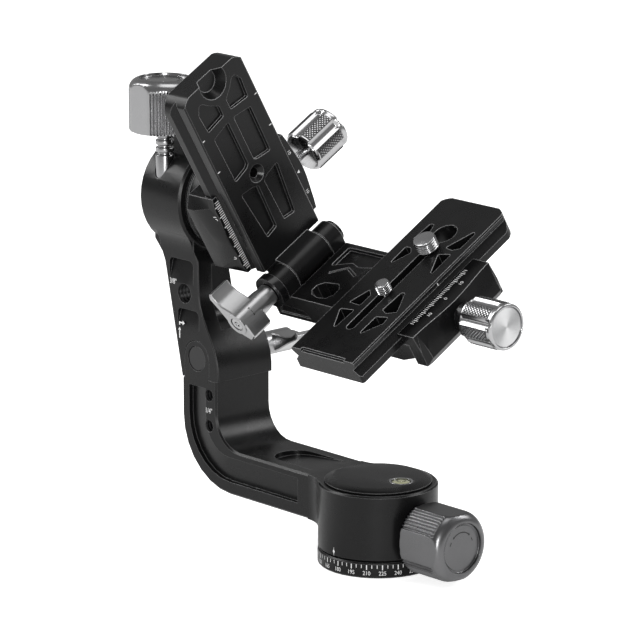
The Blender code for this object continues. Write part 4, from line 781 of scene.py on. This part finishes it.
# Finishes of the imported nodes

def smoothing(angle):
    """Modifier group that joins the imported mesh's split points and keeps its real edges sharp."""
    group = bpy.data.node_groups.new("real_edges", "GeometryNodeTree")
    group.interface.new_socket("Geometry", in_out="INPUT", socket_type="NodeSocketGeometry")
    group.interface.new_socket("Geometry", in_out="OUTPUT", socket_type="NodeSocketGeometry")
    start = group.nodes.new("NodeGroupInput")
    end = group.nodes.new("NodeGroupOutput")
    drop = group.nodes.new("GeometryNodeRemoveAttribute")
    drop.inputs["Name"].default_value = "custom_normal"
    merge = group.nodes.new("GeometryNodeMergeByDistance")
    merge.inputs["Distance"].default_value = 2e-6
    faces = group.nodes.new("GeometryNodeSetShadeSmooth")
    faces.domain = "FACE"
    edges = group.nodes.new("GeometryNodeSetShadeSmooth")
    edges.domain = "EDGE"
    edges.inputs["Shade Smooth"].default_value = False
    turn = group.nodes.new("GeometryNodeInputMeshEdgeAngle")
    test = group.nodes.new("FunctionNodeCompare")
    test.operation = "GREATER_THAN"
    test.inputs[1].default_value = math.radians(angle)
    links = group.links
    links.new(start.outputs[0], drop.inputs["Geometry"])
    links.new(drop.outputs["Geometry"], merge.inputs["Geometry"])
    links.new(merge.outputs["Geometry"], faces.inputs["Geometry"])
    links.new(faces.outputs["Geometry"], edges.inputs["Geometry"])
    links.new(turn.outputs["Unsigned Angle"], test.inputs[0])
    links.new(test.outputs["Result"], edges.inputs["Selection"])
    links.new(edges.outputs["Geometry"], end.inputs[0])
    return group


real_edges = smoothing(33)
rounded = {"rail": 0.0006, "leaf_a": 0.0005, "leaf_b": 0.0004, "clamp_a_body": 0.0005,
           "clamp_a_jaw": 0.0005, "clamp_b_jaw": 0.0005, "arm_lever": 0.0005,
           "hinge_lever": 0.0005}
finishes = {
    "matt": ("lower_arm", "upper_arm", "pan_base", "housing_cap"),
    "gloss": ("hinge_bolt", "hinge_washer", "arm_bolt", "clamp_b_collar"),
    "steel": ("pan_bearing", "tilt_bearing_outer", "tilt_bearing_inner", "pan_nut", "tilt_shaft_nut",
              "pan_knob_screw", "clamp_a_screw", "clamp_b_screw", "clamp_a_pin_1", "clamp_a_pin_2",
              "clamp_b_pin_1", "clamp_b_pin_2", "clamp_a_bolt_1", "clamp_a_bolt_2", "clamp_a_bolt_3",
              "clamp_a_bolt_4", "arm_lever_screw", "hinge_lever_screw", "rail_stop_screw",
              "socket_insert", "level_case"),
    "bronze": ("pan_washer", "pan_brake_shoe"),
    "blasted": ("arm_lever", "hinge_lever"),
}
looks = {"matt": matt, "gloss": gloss, "steel": steel, "bronze": bronze, "blasted": blasted}
chosen = {name: looks[kind] for kind, names in finishes.items() for name in names}
for name, item in nodes.items():
    material = chosen.get(name, black)
    if not item.data.materials:
        item.data.materials.append(material)
    for index in range(len(item.data.materials)):
        item.data.materials[index] = material
    edges = item.modifiers.new("real_edges", "NODES")
    edges.node_group = real_edges
    if name in rounded:
        plain = item.modifiers.new("plain_faces", "DECIMATE")
        plain.decimate_type = "DISSOLVE"
        plain.angle_limit = math.radians(1.5)
        soft = item.modifiers.new("soft_edges", "BEVEL")
        soft.width = rounded[name]
        soft.segments = 2
        soft.limit_method = "ANGLE"
        soft.angle_limit = math.radians(33)
    weights = item.modifiers.new("flat_faces", "WEIGHTED_NORMAL")
    weights.keep_sharp = True
    weights.weight = 80


# Floor, light and camera

def floor_material():
    made = bpy.data.materials.new("pale_floor")
    made.use_nodes = True
    tree = made.node_tree
    shader = tree.nodes["Principled BSDF"]
    shader.inputs["Base Color"].default_value = (0.9, 0.9, 0.9, 1)
    shader.inputs["Roughness"].default_value = 0.9
    shader.inputs["Specular IOR Level"].default_value = 0.0
    shader.inputs["Emission Color"].default_value = (1, 1, 1, 1)
    rays = node(tree, "ShaderNodeLightPath")
    seen = node(tree, "ShaderNodeMath", operation="MULTIPLY_ADD")
    link(tree, rays.outputs["Is Glossy Ray"], seen.inputs[0])
    seen.inputs[1].default_value = 0.4
    link(tree, rays.outputs["Is Camera Ray"], seen.inputs[2])
    more = node(tree, "ShaderNodeMath", operation="ADD", use_clamp=True)
    link(tree, seen.outputs[0], more.inputs[0])
    link(tree, rays.outputs["Is Transmission Ray"], more.inputs[1])
    level = node(tree, "ShaderNodeMath", operation="MULTIPLY")
    level.inputs[1].default_value = 0.75
    link(tree, more.outputs[0], level.inputs[0])
    link(tree, level.outputs[0], shader.inputs["Emission Strength"])
    return made


def floor():
    reach, drop = 9, 0.0001
    corners = ((-reach, -reach), (reach, -reach), (reach, reach), (-reach, reach))
    mesh = bpy.data.meshes.new("floor")
    shape = bmesh.new()
    points = [shape.verts.new((x, y, -drop)) for x, y in corners]
    shape.faces.new(points)
    shape.to_mesh(mesh)
    shape.free()
    mesh.materials.append(floor_material())
    item = bpy.data.objects.new("floor", mesh)
    scene.collection.objects.link(item)


def lamp(name, place, aim, size, power, tall=None):
    data = bpy.data.lights.new(name, "AREA")
    data.energy = power
    data.shape = "RECTANGLE"
    data.size = size
    data.size_y = tall or size
    item = bpy.data.objects.new(name, data)
    scene.collection.objects.link(item)
    item.location = place
    item.rotation_euler = (Vector(aim) - Vector(place)).to_track_quat("-Z", "Y").to_euler()
    return item


def world():
    """White to the camera, and a dim even fill for everything else."""
    glossy_share, fill = 0.22, 0.30
    made = bpy.data.worlds.new("studio")
    scene.world = made
    made.use_nodes = True
    tree = made.node_tree
    back = tree.nodes["Background"]
    back.inputs["Color"].default_value = (1, 1, 1, 1)
    rays = node(tree, "ShaderNodeLightPath")
    seen = node(tree, "ShaderNodeMath", operation="ADD")
    link(tree, rays.outputs["Is Camera Ray"], seen.inputs[0])
    link(tree, rays.outputs["Is Transmission Ray"], seen.inputs[1])
    glossy = node(tree, "ShaderNodeMath", operation="MULTIPLY")
    glossy.inputs[1].default_value = glossy_share
    link(tree, rays.outputs["Is Glossy Ray"], glossy.inputs[0])
    total = node(tree, "ShaderNodeMath", operation="ADD")
    link(tree, seen.outputs[0], total.inputs[0])
    link(tree, glossy.outputs[0], total.inputs[1])
    level = node(tree, "ShaderNodeMath", operation="MAXIMUM")
    level.inputs[1].default_value = fill
    link(tree, total.outputs[0], level.inputs[0])
    link(tree, level.outputs[0], back.inputs["Strength"])


def camera():
    focal, width, sensor = 4150, 640, 36
    origin_x, origin_y = 377.9, 560.7
    scale_at_origin = 2470
    data = bpy.data.cameras.new("view")
    data.sensor_width = sensor
    data.lens = focal / width * sensor
    data.clip_start = 0.05
    data.clip_end = 60
    item = bpy.data.objects.new("view", data)
    scene.collection.objects.link(item)
    pitch, turn = math.radians(13.9), math.radians(47.5)
    item.rotation_euler = (math.radians(90) - pitch, 0, turn)
    ahead = Vector((-math.sin(turn) * math.cos(pitch), math.cos(turn) * math.cos(pitch),
                    -math.sin(pitch)))
    right = Vector((math.cos(turn), math.sin(turn), 0))
    up = right.cross(ahead)
    far = focal / scale_at_origin
    item.location = -(ahead * far + right * (origin_x - width / 2) / focal * far
                      - up * (origin_y - width / 2) / focal * far)
    scene.camera = item


floor()
world()
camera()
middle = (-0.03, 0, 0.1)
lamp("key", (-1.15, -0.60, 1.05), middle, 0.4, 12, 1.2)
lamp("front", (1.50, -1.50, 0.42), middle, 0.3, 22, 0.8)
lamp("rear", (0.75, 1.15, 1.05), middle, 0.4, 11, 1.0)
lamp("top", (0.1, 0.1, 1.6), middle, 0.9, 6)
scene.view_settings.view_transform = "Standard"
